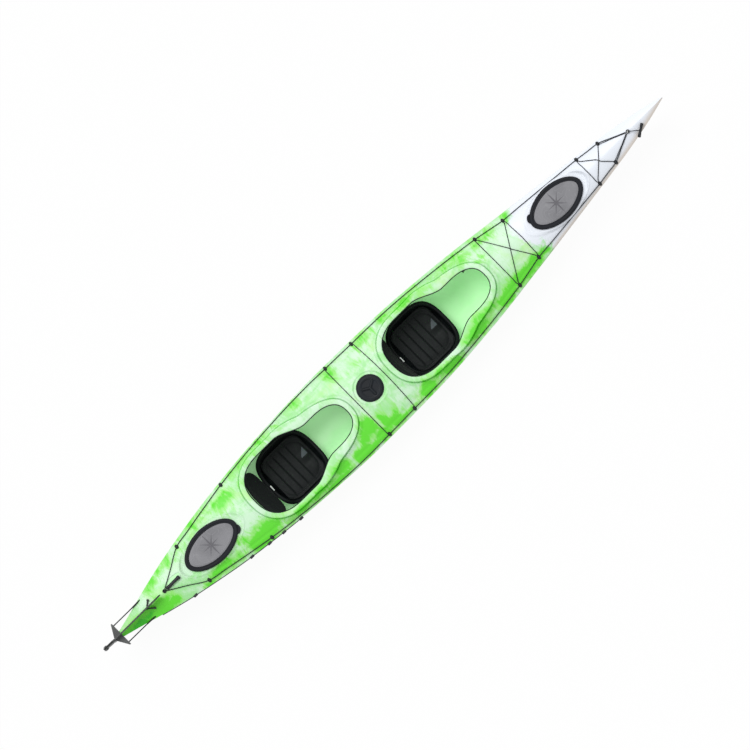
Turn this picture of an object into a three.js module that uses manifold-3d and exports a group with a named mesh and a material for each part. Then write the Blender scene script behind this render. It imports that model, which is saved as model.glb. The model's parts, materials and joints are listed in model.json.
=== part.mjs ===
// A tandem sit-in sea kayak with a rudder, as an assembly of separate pieces.
// Millimetres. +X to the bow, +Y to port, +Z up. The keel's flat run lies on z = 0 and the middle of the
// boat's whole length, rudder head included, is at x = 0.

import * as THREE from 'three';
import { mergeVertices } from 'three/addons/utils/BufferGeometryUtils.js';
import Module from 'manifold-3d';

const wasm = await Module();
wasm.setup();
const { Manifold, Mesh: SolidMesh } = wasm;

// Driving sizes of the hull

const hullLength = 5502;
const hullBeam = 709;
const bowHeight = 440;
const wall = 5;
const rudderOverhang = 166;
const touchGap = 0.3;
const cutOverrun = 60;
const stationCount = 30;
const sectionSteps = 6;
const insideSteps = 5;
const facetTolerance = 0.2;

const halfBeamMax = hullBeam / 2;
const sternX = rudderOverhang - (hullLength + rudderOverhang) / 2;

// The hull's lines, as shares of the length from the stern and of the size that each one follows

const halfBeamShares = [
  [0, 0.07], [0.026, 0.175], [0.062, 0.33], [0.114, 0.52], [0.207, 0.765], [0.312, 0.929], [0.417, 1],
  [0.522, 0.98], [0.628, 0.867], [0.733, 0.673], [0.838, 0.459], [0.917, 0.29], [0.97, 0.135], [1, 0.016],
];
const sheerShares = [
  [0, 0.8], [0.1, 0.7], [0.25, 0.6], [0.45, 0.56], [0.6, 0.57], [0.75, 0.63], [0.9, 0.8], [1, 0.98],
];
const keelShares = [
  [0, 0.3], [0.02, 0.13], [0.06, 0.045], [0.14, 0.008], [0.22, 0], [0.74, 0], [0.82, 0.01], [0.9, 0.07],
  [0.95, 0.19], [0.985, 0.5], [1, 0.9],
];
const crownShares = [
  [0, 0.025], [0.1, 0.115], [0.25, 0.17], [0.5, 0.18], [0.75, 0.17], [0.9, 0.1], [1, 0.015],
];
const keelFlatShares = [
  [0, 0.02], [0.1, 0.05], [0.25, 0.2], [0.45, 0.32], [0.6, 0.3], [0.75, 0.16], [0.9, 0.04], [1, 0.004],
];
const bilgeFullness = [[0, 1.25], [0.1, 1.7], [0.3, 2.5], [0.6, 2.6], [0.85, 1.7], [1, 1.2]];
const deckFullness = [[0, 1.35], [0.1, 1.6], [0.3, 2.2], [0.7, 2.2], [0.9, 1.6], [1, 1.3]];

// A monotone cubic curve through a table's points
function through(table) {
  const last = table.length - 1;
  const steps = table.slice(1).map((point, i) => (point[1] - table[i][1]) / (point[0] - table[i][0]));
  const slopes = table.map((_, i) => {
    if (i === 0) return steps[0];
    if (i === last) return steps[last - 1];
    if (steps[i - 1] * steps[i] <= 0) return 0;
    return (2 * steps[i - 1] * steps[i]) / (steps[i - 1] + steps[i]);
  });
  return (at) => {
    const t = THREE.MathUtils.clamp(at, table[0][0], table[last][0]);
    const i = Math.min(last - 1, Math.max(0, table.findIndex((point) => point[0] > t) - 1));
    const k = t >= table[last][0] ? last - 1 : i;
    const width = table[k + 1][0] - table[k][0];
    const u = (t - table[k][0]) / width;
    const from = table[k][1] * (1 + 2 * u) * (1 - u) ** 2 + slopes[k] * width * u * (1 - u) ** 2;
    return from + table[k + 1][1] * u * u * (3 - 2 * u) + slopes[k + 1] * width * u * u * (u - 1);
  };
}

const halfBeamAt = through(halfBeamShares);
const sheerAt = through(sheerShares);
const keelAt = through(keelShares);
const crownAt = through(crownShares);
const keelFlatAt = through(keelFlatShares);
const bilgeAt = through(bilgeFullness);
const deckAt = through(deckFullness);

const placeX = (share) => sternX + share * hullLength;
const shareAt = (x) => (x - sternX) / hullLength;
const halfBeam = (x) => halfBeamMax * halfBeamAt(shareAt(x));

// Height of the deck's outer face over a point in plan
function deckZ(x, y) {
  const share = shareAt(x);
  const across = Math.min(1, Math.abs(y) / halfBeam(x));
  return bowHeight * (sheerAt(share) + crownAt(share) * (1 - across ** deckAt(share)));
}

// One cross-section of the hull, moved inwards by inset, as a closed ring of points
function hullSection(x, inset, count) {
  const share = shareAt(x);
  const half = halfBeam(x) - inset;
  const flat = Math.min(half, halfBeamMax * keelFlatAt(share));
  const keel = bowHeight * keelAt(share) + inset;
  const sheer = bowHeight * sheerAt(share) - inset;
  const crown = bowHeight * crownAt(share);
  const side = [];
  for (let i = 0; i <= count; i++) {
    const angle = (i / count) * (Math.PI / 2);
    const power = 2 / bilgeAt(share);
    const y = flat + (half - flat) * Math.sin(angle) ** power;
    side.push([y, sheer - (sheer - keel) * Math.cos(angle) ** power]);
  }
  for (let i = 1; i < count; i++) {
    const y = half * Math.cos((i / count) * (Math.PI / 2));
    side.push([y, sheer + crown * (1 - (y / half) ** deckAt(share))]);
  }
  const port = side.map(([y, z]) => new THREE.Vector3(x, y, z));
  const starboard = side.map(([y, z]) => new THREE.Vector3(x, -y, z)).reverse();
  return [...port, new THREE.Vector3(x, 0, sheer + crown), ...starboard];
}

// Shape helpers

// A closed body through rings of points, each ring with as many points as the next
function loft(rings, closed = false) {
  const count = rings[0].length;
  const points = rings.flat().map((point) => point.clone());
  const faces = [];
  const spans = closed ? rings.length : rings.length - 1;
  for (let i = 0; i < spans; i++) {
    const near = i * count;
    const far = ((i + 1) % rings.length) * count;
    for (let j = 0; j < count; j++) {
      const k = (j + 1) % count;
      faces.push([near + j, far + j, far + k], [near + j, far + k, near + k]);
    }
  }
  if (!closed) {
    for (const [start, flip] of [[0, false], [(rings.length - 1) * count, true]]) {
      const centre = new THREE.Vector3();
      for (let j = 0; j < count; j++) centre.add(points[start + j]);
      const hub = points.push(centre.divideScalar(count)) - 1;
      for (let j = 0; j < count; j++) {
        const k = (j + 1) % count;
        faces.push(flip ? [hub, start + k, start + j] : [hub, start + j, start + k]);
      }
    }
  }
  return solidOf(points, faces);
}

// A manifold solid from points and faces, turned right side out
function solidOf(points, faces) {
  const six = faces.reduce((sum, [a, b, c]) => {
    return sum + points[a].dot(new THREE.Vector3().crossVectors(points[b], points[c]));
  }, 0);
  const outward = six < 0 ? faces.map(([a, b, c]) => [a, c, b]) : faces;
  const vertProperties = new Float32Array(points.flatMap((point) => point.toArray()));
  const triVerts = new Uint32Array(outward.flat());
  const mesh = new SolidMesh({ numProp: 3, vertProperties, triVerts });
  return new Manifold(mesh);
}

// A manifold solid from a three.js geometry
function solid(geometry) {
  const bare = geometry.index ? geometry.toNonIndexed() : geometry.clone();
  for (const name of Object.keys(bare.attributes)) {
    if (name !== 'position') bare.deleteAttribute(name);
  }
  const merged = mergeVertices(bare, 1e-4);
  const place = merged.getAttribute('position');
  const points = [];
  for (let i = 0; i < place.count; i++) points.push(new THREE.Vector3().fromBufferAttribute(place, i));
  const index = merged.index.array;
  const faces = [];
  for (let i = 0; i < index.length; i += 3) {
    const face = [index[i], index[i + 1], index[i + 2]];
    if (new Set(face).size === 3) faces.push(face);
  }
  return solidOf(points, faces);
}

// A prism of a plan outline between two heights
function prism(outline, low, high) {
  const ring = (z) => outline.map(([x, y]) => new THREE.Vector3(x, y, z));
  return loft([ring(low), ring(high)]);
}

function box(low, high) {
  const size = high.map((value, i) => value - low[i]);
  return solid(new THREE.BoxGeometry(...size)).translate(low.map((value, i) => value + size[i] / 2));
}

// A cylinder along an axis, from one point to another
function rod(from, to, radius, sides = 12) {
  const start = new THREE.Vector3(...from);
  const end = new THREE.Vector3(...to);
  const along = end.clone().sub(start);
  const geometry = new THREE.CylinderGeometry(radius, radius, along.length(), sides);
  const upright = new THREE.Vector3(0, 1, 0);
  const turn = new THREE.Quaternion().setFromUnitVectors(upright, along.clone().normalize());
  geometry.applyQuaternion(turn);
  geometry.translate(...start.add(end).divideScalar(2).toArray());
  return solid(geometry);
}

// A round section swept along a smooth curve through points
function tube(points, radius, steps, sides = 8) {
  const section = new THREE.Shape();
  for (let i = 0; i < sides; i++) {
    const angle = (2 * Math.PI * i) / sides;
    const corner = [radius * Math.cos(angle), radius * Math.sin(angle)];
    if (i === 0) section.moveTo(...corner);
    else section.lineTo(...corner);
  }
  section.closePath();
  const places = points.map((point) => new THREE.Vector3(...point));
  const path = new THREE.CatmullRomCurve3(places, false, 'centripetal');
  return solid(new THREE.ExtrudeGeometry(section, { steps, extrudePath: path, bevelEnabled: false }));
}

// A flat outline in the X-Z plane given a thickness across Y, with its edges eased by bevel
function plate(outline, thickness, bevel) {
  const shape = new THREE.Shape(outline.map(([x, z]) => new THREE.Vector2(x, z)));
  const options = {
    depth: thickness - 2 * bevel,
    bevelEnabled: bevel > 0,
    bevelThickness: bevel,
    bevelSize: bevel,
    bevelOffset: -bevel,
    bevelSegments: 1,
    curveSegments: 6,
  };
  const geometry = new THREE.ExtrudeGeometry(shape, options);
  geometry.rotateX(Math.PI / 2);
  geometry.translate(0, thickness / 2 - bevel, 0);
  return solid(geometry);
}

// A closed plan outline with rounded, slightly pointed ends
function oval(halfLength, halfWidth, centreX, power, count) {
  return Array.from({ length: count }, (_, i) => {
    const angle = (2 * Math.PI * i) / count;
    const x = Math.sign(Math.cos(angle)) * Math.abs(Math.cos(angle)) ** (2 / power);
    const y = Math.sign(Math.sin(angle)) * Math.abs(Math.sin(angle)) ** (2 / power);
    return [centreX + halfLength * x, halfWidth * y];
  });
}

// The same outline moved outwards by a distance
function offsetOutline(outline, distance) {
  return outline.map((point, i) => {
    const before = outline[(i + outline.length - 1) % outline.length];
    const after = outline[(i + 1) % outline.length];
    const along = new THREE.Vector2(after[0] - before[0], after[1] - before[1]).normalize();
    return [point[0] + along.y * distance, point[1] - along.x * distance];
  });
}

function hullLoft(inset, count, fromShare = 0, toShare = 1) {
  const rings = [];
  for (let i = 0; i <= stationCount; i++) {
    const even = i / stationCount;
    const share = (even + (1 - Math.cos(Math.PI * even)) / 2) / 2;
    if (share >= fromShare && share <= toShare) rings.push(hullSection(placeX(share), inset, count));
  }
  return loft(rings);
}

// Everything that lies on the deck is cut to the deck's own facets, a touch above them
const deckClear = hullLoft(-touchGap, sectionSteps);
const seatOnDeck = (piece) => piece.subtract(deckClear);

// Cockpits: keyhole openings with a moulded coaming and a soft shoulder ring round it

const cockpitLength = 936;
const cockpitWidth = 465;
const coamingLip = 38;
const coamingRise = 22;
const coamingThick = 7;
const coamingRound = 3;
const shoulderOffset = 47;
const shoulderWidth = 20;
const shoulderHeight = 7;
const cockpitPoints = 32;
const cockpitAftShares = { rear: 0.2473, front: 0.5016 };
const keyholeShares = { aftRound: 0.28, throatStart: 0.43, throatEnd: 0.7, throat: 0.64, foreRound: 0.24 };
const keyholePower = 2.5;
const coamingFollowShare = 0.6;

// The keyhole's half-width at a share of its length from the aft end, as a share of its widest
function keyholeHalf(along) {
  const { aftRound, throatStart, throatEnd, throat, foreRound } = keyholeShares;
  const narrow = 1 - (1 - throat) * THREE.MathUtils.smoothstep(along, throatStart, throatEnd);
  const aft = Math.max(0, 1 - along / aftRound);
  const fore = Math.max(0, 1 - (1 - along) / foreRound);
  const ends = (1 - aft ** keyholePower) * (1 - fore ** keyholePower);
  return narrow * Math.max(0, ends) ** (1 / keyholePower);
}

function keyhole(aftX) {
  return Array.from({ length: cockpitPoints }, (_, i) => {
    const angle = (2 * Math.PI * i) / cockpitPoints;
    const along = (1 + Math.cos(angle)) / 2;
    return [aftX + cockpitLength * along, Math.sign(Math.sin(angle)) * (cockpitWidth / 2) * keyholeHalf(along)];
  });
}

const rimZ = (x, y) => coamingFollowShare * deckZ(x, y) + (1 - coamingFollowShare) * deckZ(x, 0) + coamingRise;

// A ring that follows an outline: profile gives distance outwards and height for each point of the outline
function ringAlong(outline, profile) {
  const count = outline.length;
  const rings = outline.map((point, i) => {
    const before = outline[(i + count - 1) % count];
    const after = outline[(i + 1) % count];
    const along = new THREE.Vector2(after[0] - before[0], after[1] - before[1]).normalize();
    return profile(point[0], point[1]).map(([out, z]) => {
      return new THREE.Vector3(point[0] + along.y * out, point[1] - along.x * out, z);
    });
  });
  return loft(rings, true);
}

function coaming(outline) {
  return ringAlong(outline, (x, y) => {
    const top = rimZ(x, y);
    const deck = deckZ(x, y);
    return [
      [-coamingRound, deck - wall],
      [-coamingRound, top - coamingRound],
      [coamingRound, top],
      [coamingLip - coamingRound, top],
      [coamingLip, top - coamingRound],
      [coamingLip, top - coamingThick],
      [wall, top - coamingThick],
      [wall, deck - wall],
    ];
  });
}

function shoulderRing(outline) {
  const ring = offsetOutline(outline, shoulderOffset);
  return ringAlong(ring, (x, y) => {
    const deck = deckZ(x, y);
    const half = shoulderWidth / 2;
    return [[-half, deck - wall / 2], [0, deck + shoulderHeight], [half, deck - wall / 2]];
  });
}

// Hatches: a flat seat let into the deck, with a low collar that the rubber cover closes over

const hatchPower = 1.88;
const hatchPoints = 26;
const hatchRecess = { length: 562, width: 292 };
const hatchCover = { length: 480, width: 279, height: 23, round: 7 };
const hatchMouth = { length: 414, width: 213 };
const hatchCollarHeight = 13;
const hatchSeatDrop = 12;
const hatchCentreShares = { rear: 0.1663, front: 0.8045 };

const hatchX = { rear: placeX(hatchCentreShares.rear), front: placeX(hatchCentreShares.front) };
const hatchSeatZ = (x) => deckZ(x, 0) - hatchSeatDrop;
const hatchOval = (size, x, out = 0) => {
  return oval(size.length / 2 + out, size.width / 2 + out, x, hatchPower, hatchPoints);
};

// Screw hatch between the cockpits

const roundHatch = {
  centreShare: 0.4597, recessRadius: 123, recessDepth: 6, flangeRadius: 102, flangeThick: 4,
  neckRadius: 82, neckWall: 3, neckDepth: 22,
  lidRadius: 91, lidThick: 6, lidEdge: 2, plugDepth: 16, plugWall: 2.5,
};
const roundHatchX = placeX(roundHatch.centreShare);
const roundSeatZ = deckZ(roundHatchX, 0) - roundHatch.recessDepth;
const roundSides = 22;

// The rails for the foot braces, moulded to the hull's sides inside

const footRail = { length: 320, height: 20, thick: 10, standoff: 24, inset: 44, z: 135 };
const footRailShares = { rear: 0.4031, front: 0.6594 };

const railY = (x, side) => {
  const half = footRail.length / 2;
  return side * (Math.min(halfBeam(x - half), halfBeam(x + half)) - footRail.inset);
};

function railBody(x, side) {
  const y = railY(x, side);
  const half = footRail.length / 2;
  const bar = box(
    [x - half, y - footRail.thick / 2, footRail.z - footRail.height / 2],
    [x + half, y + footRail.thick / 2, footRail.z + footRail.height / 2],
  );
  const feet = [-1, 1].map((end) => {
    const centre = x + end * (half - footRail.standoff / 2);
    const skin = side * halfBeamMax;
    const low = [centre - footRail.standoff / 2, Math.min(y, skin), footRail.z - footRail.height / 2];
    const high = [centre + footRail.standoff / 2, Math.max(y, skin), footRail.z + footRail.height / 2];
    return box(low, high);
  });
  return Manifold.union([bar, ...feet]);
}

const outerHull = hullLoft(0, sectionSteps);
const cavityShares = { stern: 0.025, bow: 0.955 };

function buildHull() {
  const above = bowHeight + cutOverrun;
  let outside = outerHull;
  let inside = hullLoft(wall, insideSteps, cavityShares.stern, cavityShares.bow);
  for (const x of Object.values(hatchX)) {
    const seat = hatchSeatZ(x);
    const low = seat - hatchRecess.width / 6;
    outside = outside.add(prism(hatchOval(hatchRecess, x), low, seat));
    outside = outside.subtract(prism(hatchOval(hatchRecess, x), seat, above));
    outside = outside.add(prism(hatchOval(hatchMouth, x, wall), low, seat + hatchCollarHeight));
    inside = inside.subtract(prism(hatchOval(hatchRecess, x, wall), seat - wall, above));
    inside = inside.add(prism(hatchOval(hatchRecess, x, -wall), low - wall, seat - wall));
  }
  const round = [roundHatchX, 0, roundSeatZ];
  const up = [roundHatchX, 0, above];
  outside = outside.subtract(rod(round, up, roundHatch.recessRadius, roundSides));
  const under = [roundHatchX, 0, roundSeatZ - wall];
  inside = inside.subtract(rod(under, up, roundHatch.recessRadius + wall, roundSides));
  let hull = outside;
  for (const share of Object.values(cockpitAftShares)) {
    const outline = keyhole(placeX(share));
    hull = hull.add(shoulderRing(outline)).add(coaming(outline));
  }
  hull = hull.subtract(inside);
  const railPlaces = Object.values(footRailShares).map(placeX);
  const rails = railPlaces.flatMap((x) => [-1, 1].map((side) => railBody(x, side)));
  hull = hull.add(Manifold.union(rails).intersect(outerHull));
  const cockpits = Object.values(cockpitAftShares).map((share) => keyhole(placeX(share)));
  const mouths = cockpits.map((outline) => prism(outline, footRail.z, above));
  for (const x of Object.values(hatchX)) {
    mouths.push(prism(hatchOval(hatchMouth, x), hatchSeatZ(x) - cutOverrun, above));
  }
  const neck = roundHatch.neckRadius + touchGap;
  mouths.push(rod([roundHatchX, 0, roundSeatZ - cutOverrun], up, neck, roundSides));
  for (const side of [-1, 1]) mouths.push(steeringCable(side, cable.clearance));
  return hull.subtract(Manifold.union(mouths)).simplify(facetTolerance);
}

// Steering cables: from the rudder's yoke through the deck and along the hull's inside to the rear pedals

const cable = { radius: 2, clearance: 0.8, steps: 22, yokeY: 80, attachZ: 160 };

// Where the port cable bends on its way from the yoke to its rail
const cableBends = [
  [-2560, 80, 357], [-2436, 81, 341], [-2380, 84, 326], [-2200, 118, 300], [-1900, 178, 272],
  [-1620, 222, 252], [-1370, 252, 234], [-1000, 300, 200], [-700, 309, 168],
];
const cableRailStart = -560;
const rudder = {
  pinAft: 32, pinRadius: 5, pinHeadRadius: 8, pinHeadHeight: 5, pinReach: 8, bore: 5.3,
  lugThick: 12, lugRadius: 14, lugLowZ: 230, lugHighZ: 330,
  plateThick: 4, plateHalf: 16, plateLowZ: 212, plateHighZ: 352,
  sleeveRadius: 13, shelfLowZ: 351, shelfTopZ: 366,
  columnHalf: 9, columnFront: 16.5, columnAft: 45, columnLowZ: 250,
  yokeHalf: 101, yokeFront: 36, yokeThick: 6, yokeTip: 9, yokeAft: 23.6, yokeNeck: 14,
  cheekThick: 4, pivotAft: 113, pivotZ: 400, pivotRadius: 4, headRadius: 8, headThick: 4,
};
const cheek = {
  frontRise: 12, crownAft: 60, crownRise: 34, backFore: 8, backRise: 32,
  tailRise: 14, tailDrop: 16, footAft: 70,
};
const blade = { length: 550, chord: 95, thick: 9, bevel: 2.5, rootRadius: 20, side: 0.5 };
const pinX = sternX - rudder.pinAft;
const pivotX = pinX - rudder.pivotAft;
const yokeZ = rudder.shelfTopZ + touchGap;
const yokeMidZ = yokeZ + rudder.yokeThick / 2;

function steeringCable(side, extra = 0) {
  const pedalX = placeX(footRailShares.rear) - pedal.carriageLength / 2 - touchGap;
  const railSide = railY(placeX(footRailShares.rear), 1);
  const route = [
    [pinX + rudder.yokeFront + touchGap, cable.yokeY, yokeMidZ],
    ...cableBends,
    [cableRailStart, railSide, cable.attachZ],
    [pedalX, railSide, cable.attachZ],
  ];
  return tube(route.map(([x, y, z]) => [x, side * y, z]), cable.radius + extra, cable.steps);
}

// Bulkheads: foam walls that fill the hull's inside

const bulkheadThick = 12;
const bulkheadShares = { bow: 0.7466, rear: 0.4342, stern: 0.2359 };
const frontBulkheadGap = 111.076;

function bulkhead(x) {
  const half = bulkheadThick / 2;
  const slab = box([x - half, -halfBeamMax, 0], [x + half, halfBeamMax, bowHeight]);
  const holes = Manifold.union([-1, 1].map((side) => steeringCable(side, cable.clearance)));
  const cavity = hullLoft(wall + touchGap, insideSteps, cavityShares.stern, cavityShares.bow);
  return slab.intersect(cavity).subtract(holes);
}

// Foot braces: a plate for the foot on a carriage that runs along its rail

const pedal = {
  carriageLength: 60, carriageThick: 5, topZ: 170,
  plateWidth: 84, plateThick: 14, plateLowZ: 85, plateHighZ: 198, clear: 8,
};

function footPedal(x, side) {
  const y = railY(x, side);
  const half = pedal.carriageLength / 2;
  const reach = footRail.thick / 2 + touchGap + pedal.carriageThick;
  const railLow = footRail.z - footRail.height / 2 - touchGap;
  const railHigh = footRail.z + footRail.height / 2 + touchGap;
  const carriageLow = [x - half, y - reach, railLow - pedal.carriageThick];
  const carriage = box(carriageLow, [x + half, y + reach, pedal.topZ]);
  const slotHalf = footRail.thick / 2 + touchGap;
  const slotReach = half + cutOverrun;
  const slot = box([x - slotReach, y - slotHalf, railLow], [x + slotReach, y + slotHalf, railHigh]);
  const inner = y - side * (pedal.clear + pedal.plateWidth);
  const outer = y - side * pedal.clear;
  const across = [Math.min(inner, outer), Math.max(inner, outer)];
  const front = x - half + pedal.plateThick;
  const plate = box([x - half, across[0], pedal.plateLowZ], [front, across[1], pedal.plateHighZ]);
  const ribHalf = pedal.carriageThick / 2;
  const ribLow = [x - half, across[0], footRail.z - ribHalf];
  const rib = box(ribLow, [x + half / 2, across[1], footRail.z + ribHalf]);
  return Manifold.union([carriage, plate, rib]).subtract(slot);
}

// Seats: a moulded bucket on two runners, a ribbed cushion in it and a backrest hinged behind it

const seat = {
  length: 430, width: 436, wall: 6, floorZ: 24, frontRim: 100, sideRim: 205, backRim: 88,
  runnerWidth: 28, runnerSpacing: 110, runnerLength: 300, earThick: 9, earReach: 13,
};
const seatPower = 3.2;
const seatPoints = 22;
const seatLevelShares = [[0, 0.8], [0.16, 0.92], [0.5, 0.985], [1, 1]];
const seatCentreShares = { rear: 0.3137, front: 0.5551 };
const backrest = {
  width: 400, height: 188, thick: 30, wrap: 44, lowRound: 92,
  hingeAft: 20, hingeZ: 92, hingeLength: 150, barrel: 9, lean: { rear: 40, front: 15 },
};
const backShares = { reach: 0.998, topDrop: 0.4, tipHeight: 0.4, tipThick: 0.3 };
const seatX = { rear: placeX(seatCentreShares.rear), front: placeX(seatCentreShares.front) };
const hingeX = (x) => x - seat.length / 2 - backrest.hingeAft;

function superOval(angle, power) {
  const round = (value) => Math.sign(value) * Math.abs(value) ** (2 / power);
  return [round(Math.cos(angle)), round(Math.sin(angle))];
}

function bucket(x, inset, overrun) {
  const rings = seatLevelShares.map(([up, spread]) => {
    return Array.from({ length: seatPoints }, (_, i) => {
      const [along, across] = superOval((2 * Math.PI * i) / seatPoints, seatPower);
      const ends = along > 0 ? seat.frontRim : seat.backRim;
      const rim = ends + (seat.sideRim - ends) * (1 - Math.abs(along) ** 3) + overrun;
      const floor = seat.floorZ + inset;
      const reach = (seat.length / 2 - inset) * along * spread;
      const side = (seat.width / 2 - inset) * across * spread;
      return new THREE.Vector3(x + reach, side, floor + up * (rim - floor));
    });
  });
  return loft(rings);
}

function seatPan(x) {
  const pieces = [];
  const back = x - seat.length / 2;
  const hinge = [hingeX(x), backrest.hingeZ];
  for (const side of [-1, 1]) {
    const y = (side * seat.runnerSpacing) / 2;
    const half = seat.runnerLength / 2;
    const low = [x - half, y - seat.runnerWidth / 2, wall + touchGap];
    pieces.push(box(low, [x + half, y + seat.runnerWidth / 2, seat.floorZ + seat.wall / 2]));
    const ear = [
      [back + seat.wall, seat.backRim - 3 * seat.earReach], [back + seat.wall, seat.backRim],
      [hinge[0] - seat.earReach, hinge[1] + seat.earReach],
      [hinge[0] - seat.earReach, hinge[1] - seat.earReach],
    ];
    const earY = side * (backrest.hingeLength / 2 + touchGap + seat.earThick / 2);
    pieces.push(plate(ear, seat.earThick, 0).translate([0, earY, 0]));
  }
  const shell = bucket(x, 0, 0).add(Manifold.union(pieces));
  return shell.subtract(bucket(x, seat.wall, cutOverrun));
}

const padMargin = { ends: 61, sides: 69 };
const padShares = { end: 0.62, thin: 0.3, pommel: 0.25 };
const padFrontShares = { start: 0.62, full: 0.86, fall: 0.9, end: 1 };
const pad = {
  length: seat.length - 2 * padMargin.ends, width: seat.width - 2 * padMargin.sides,
  side: 6, height: 26, dish: 9, ribDepth: 5, pommel: 26, lobe: 15, stations: 19, points: 13,
};
const padRibs = 5;

// The cushion: athwartship ribs, and a pommel between two thigh lobes at its front
function seatPad(x) {
  const base = seat.floorZ + seat.wall + touchGap;
  const smooth = THREE.MathUtils.smoothstep;
  const rings = [];
  for (let i = 0; i <= pad.stations; i++) {
    const along = i / pad.stations;
    const full = Math.sqrt(1 - Math.abs(2 * along - 1) ** 5);
    const edge = (pad.width / 2) * (padShares.end + (1 - padShares.end) * full);
    const valley = 1 - Math.abs(Math.sin(Math.PI * along * (padRibs + 1)));
    const { start, full: risen, fall, end } = padFrontShares;
    const front = smooth(along, start, risen) * (1 - smooth(along, fall, end));
    const place = x + pad.length * (along - 0.5);
    const ring = [];
    for (let j = 0; j < pad.points; j++) {
      const across = -Math.cos((Math.PI * j) / (pad.points - 1));
      const crown = Math.sqrt(1 - Math.abs(across) ** 6);
      const relief = pad.height - pad.dish * (1 - across * across) - pad.ribDepth * valley * (1 - front);
      const lobe = pad.lobe * front * Math.sin(Math.PI * across) ** 2;
      const pommel = pad.pommel * front * Math.max(0, 1 - Math.abs(across) / padShares.pommel);
      const rise = (relief + lobe + pommel) * crown * (padShares.thin + (1 - padShares.thin) * full);
      ring.push(new THREE.Vector3(place, edge * across, base + pad.side + rise));
    }
    ring.push(new THREE.Vector3(place, edge, base), new THREE.Vector3(place, -edge, base));
    rings.push(ring);
  }
  return loft(rings);
}

const backStations = 13;
const backPoints = 10;

// The backrest stands on its hinge, wraps forwards at its sides and is rounded along its lower edge
function buildBackrest(x, leanDegrees) {
  const rings = [];
  for (let i = 0; i <= backStations; i++) {
    const across = -Math.cos((Math.PI * i) / backStations) * backShares.reach;
    const end = Math.sqrt(1 - Math.abs(across) ** 8);
    const low = backrest.lowRound * (1 - Math.sqrt(1 - across * across)) + backrest.barrel / 2;
    const high = backrest.height - (backrest.height - backrest.lowRound) * backShares.topDrop * across ** 4;
    const middle = (low + high) / 2;
    const half = ((high - low) / 2) * (backShares.tipHeight + (1 - backShares.tipHeight) * end);
    rings.push(Array.from({ length: backPoints }, (_, j) => {
      const [up, out] = superOval((2 * Math.PI * j) / backPoints, 3);
      const thick = (backrest.thick / 2) * (backShares.tipThick + (1 - backShares.tipThick) * end);
      const fore = out * thick + backrest.wrap * across * across;
      return new THREE.Vector3(fore, (backrest.width / 2) * across, middle + up * half);
    }));
  }
  const barrelHalf = backrest.hingeLength / 2;
  const body = loft(rings).add(rod([0, -barrelHalf, 0], [0, barrelHalf, 0], backrest.barrel, 12));
  return body.rotate([0, -leanDegrees, 0]).translate([hingeX(x), 0, backrest.hingeZ]);
}

// Hatch covers: a rubber cap with a rolled rim and a pull tab, and the hard panel set in its top

const hatchPanel = { length: 428, width: 221, seat: 18, round: 8, rise: 26, crownIn: 60 };
const hatchTab = { radius: 24, lowZ: 6, highZ: 16, along: 225, across: 58 };

function stack(levels) {
  return loft(levels.map(([outline, z]) => outline.map(([x, y]) => new THREE.Vector3(x, y, z))));
}

function hatchCoverBody(x, tabEnd) {
  const z = hatchSeatZ(x);
  const ring = (out) => hatchOval(hatchCover, x, out);
  const top = z + hatchCover.height;
  const cap = stack([
    [ring(0), z + touchGap], [ring(0), top - hatchCover.round],
    [ring(-hatchCover.round * 0.3), top - hatchCover.round * 0.3], [ring(-hatchCover.round), top],
  ]);
  const tabX = x + tabEnd * hatchTab.along;
  const tabY = -tabEnd * hatchTab.across;
  const tab = rod([tabX, tabY, z + hatchTab.lowZ], [tabX, tabY, z + hatchTab.highZ], hatchTab.radius);
  const collar = hatchOval(hatchMouth, x, wall + touchGap);
  const inside = prism(collar, z - cutOverrun, z + hatchCollarHeight + touchGap);
  const tray = prism(hatchOval(hatchPanel, x), z + hatchPanel.seat, top + cutOverrun);
  return cap.add(tab).subtract(inside).subtract(tray);
}

function hatchPanelBody(x) {
  const z = hatchSeatZ(x);
  const ring = (out) => hatchOval(hatchPanel, x, -touchGap - out);
  return stack([
    [ring(0), z + hatchPanel.seat + touchGap], [ring(0), z + hatchCover.height],
    [ring(hatchPanel.round), z + hatchCover.height + touchGap * 5],
    [ring(hatchPanel.crownIn), z + hatchPanel.rise],
  ]);
}

// Screw hatch: flanged frame, O-ring and lid with a three-armed grip

function turned(profile, x, z) {
  const closed = profile[0][0] === 0 ? profile : [...profile, profile[0]];
  const geometry = new THREE.LatheGeometry(closed.map(([r, h]) => new THREE.Vector2(r, h)), roundSides);
  geometry.rotateX(Math.PI / 2);
  return solid(geometry).translate([x, 0, z]);
}

const roundInner = roundHatch.neckRadius - roundHatch.neckWall;
const frameTop = touchGap + roundHatch.flangeThick;
const ringSeal = { width: 5, height: 2.8 };
const turnGap = 1.2;
const lidBase = frameTop + touchGap + ringSeal.height + touchGap;
const lidTop = lidBase + roundHatch.lidThick;
const grip = {
  arms: 3, width: 13, reach: 64, height: 6, sink: 2,
  pocketDepth: 2.5, pocketNear: 24, pocketFar: 68, pocketTurn: 0.72, pocketTaper: 0.6,
};

function roundFrame() {
  const { neckRadius, neckDepth, flangeRadius } = roundHatch;
  return turned([
    [roundInner, -neckDepth], [neckRadius, -neckDepth], [neckRadius, touchGap], [flangeRadius, touchGap],
    [flangeRadius, frameTop - touchGap], [flangeRadius - touchGap, frameTop], [roundInner, frameTop],
  ], roundHatchX, roundSeatZ);
}

function roundSeal() {
  const near = roundInner;
  const low = frameTop + touchGap;
  return turned([
    [near, low], [near + ringSeal.width, low],
    [near + ringSeal.width, low + ringSeal.height], [near, low + ringSeal.height],
  ], roundHatchX, roundSeatZ);
}

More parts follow.
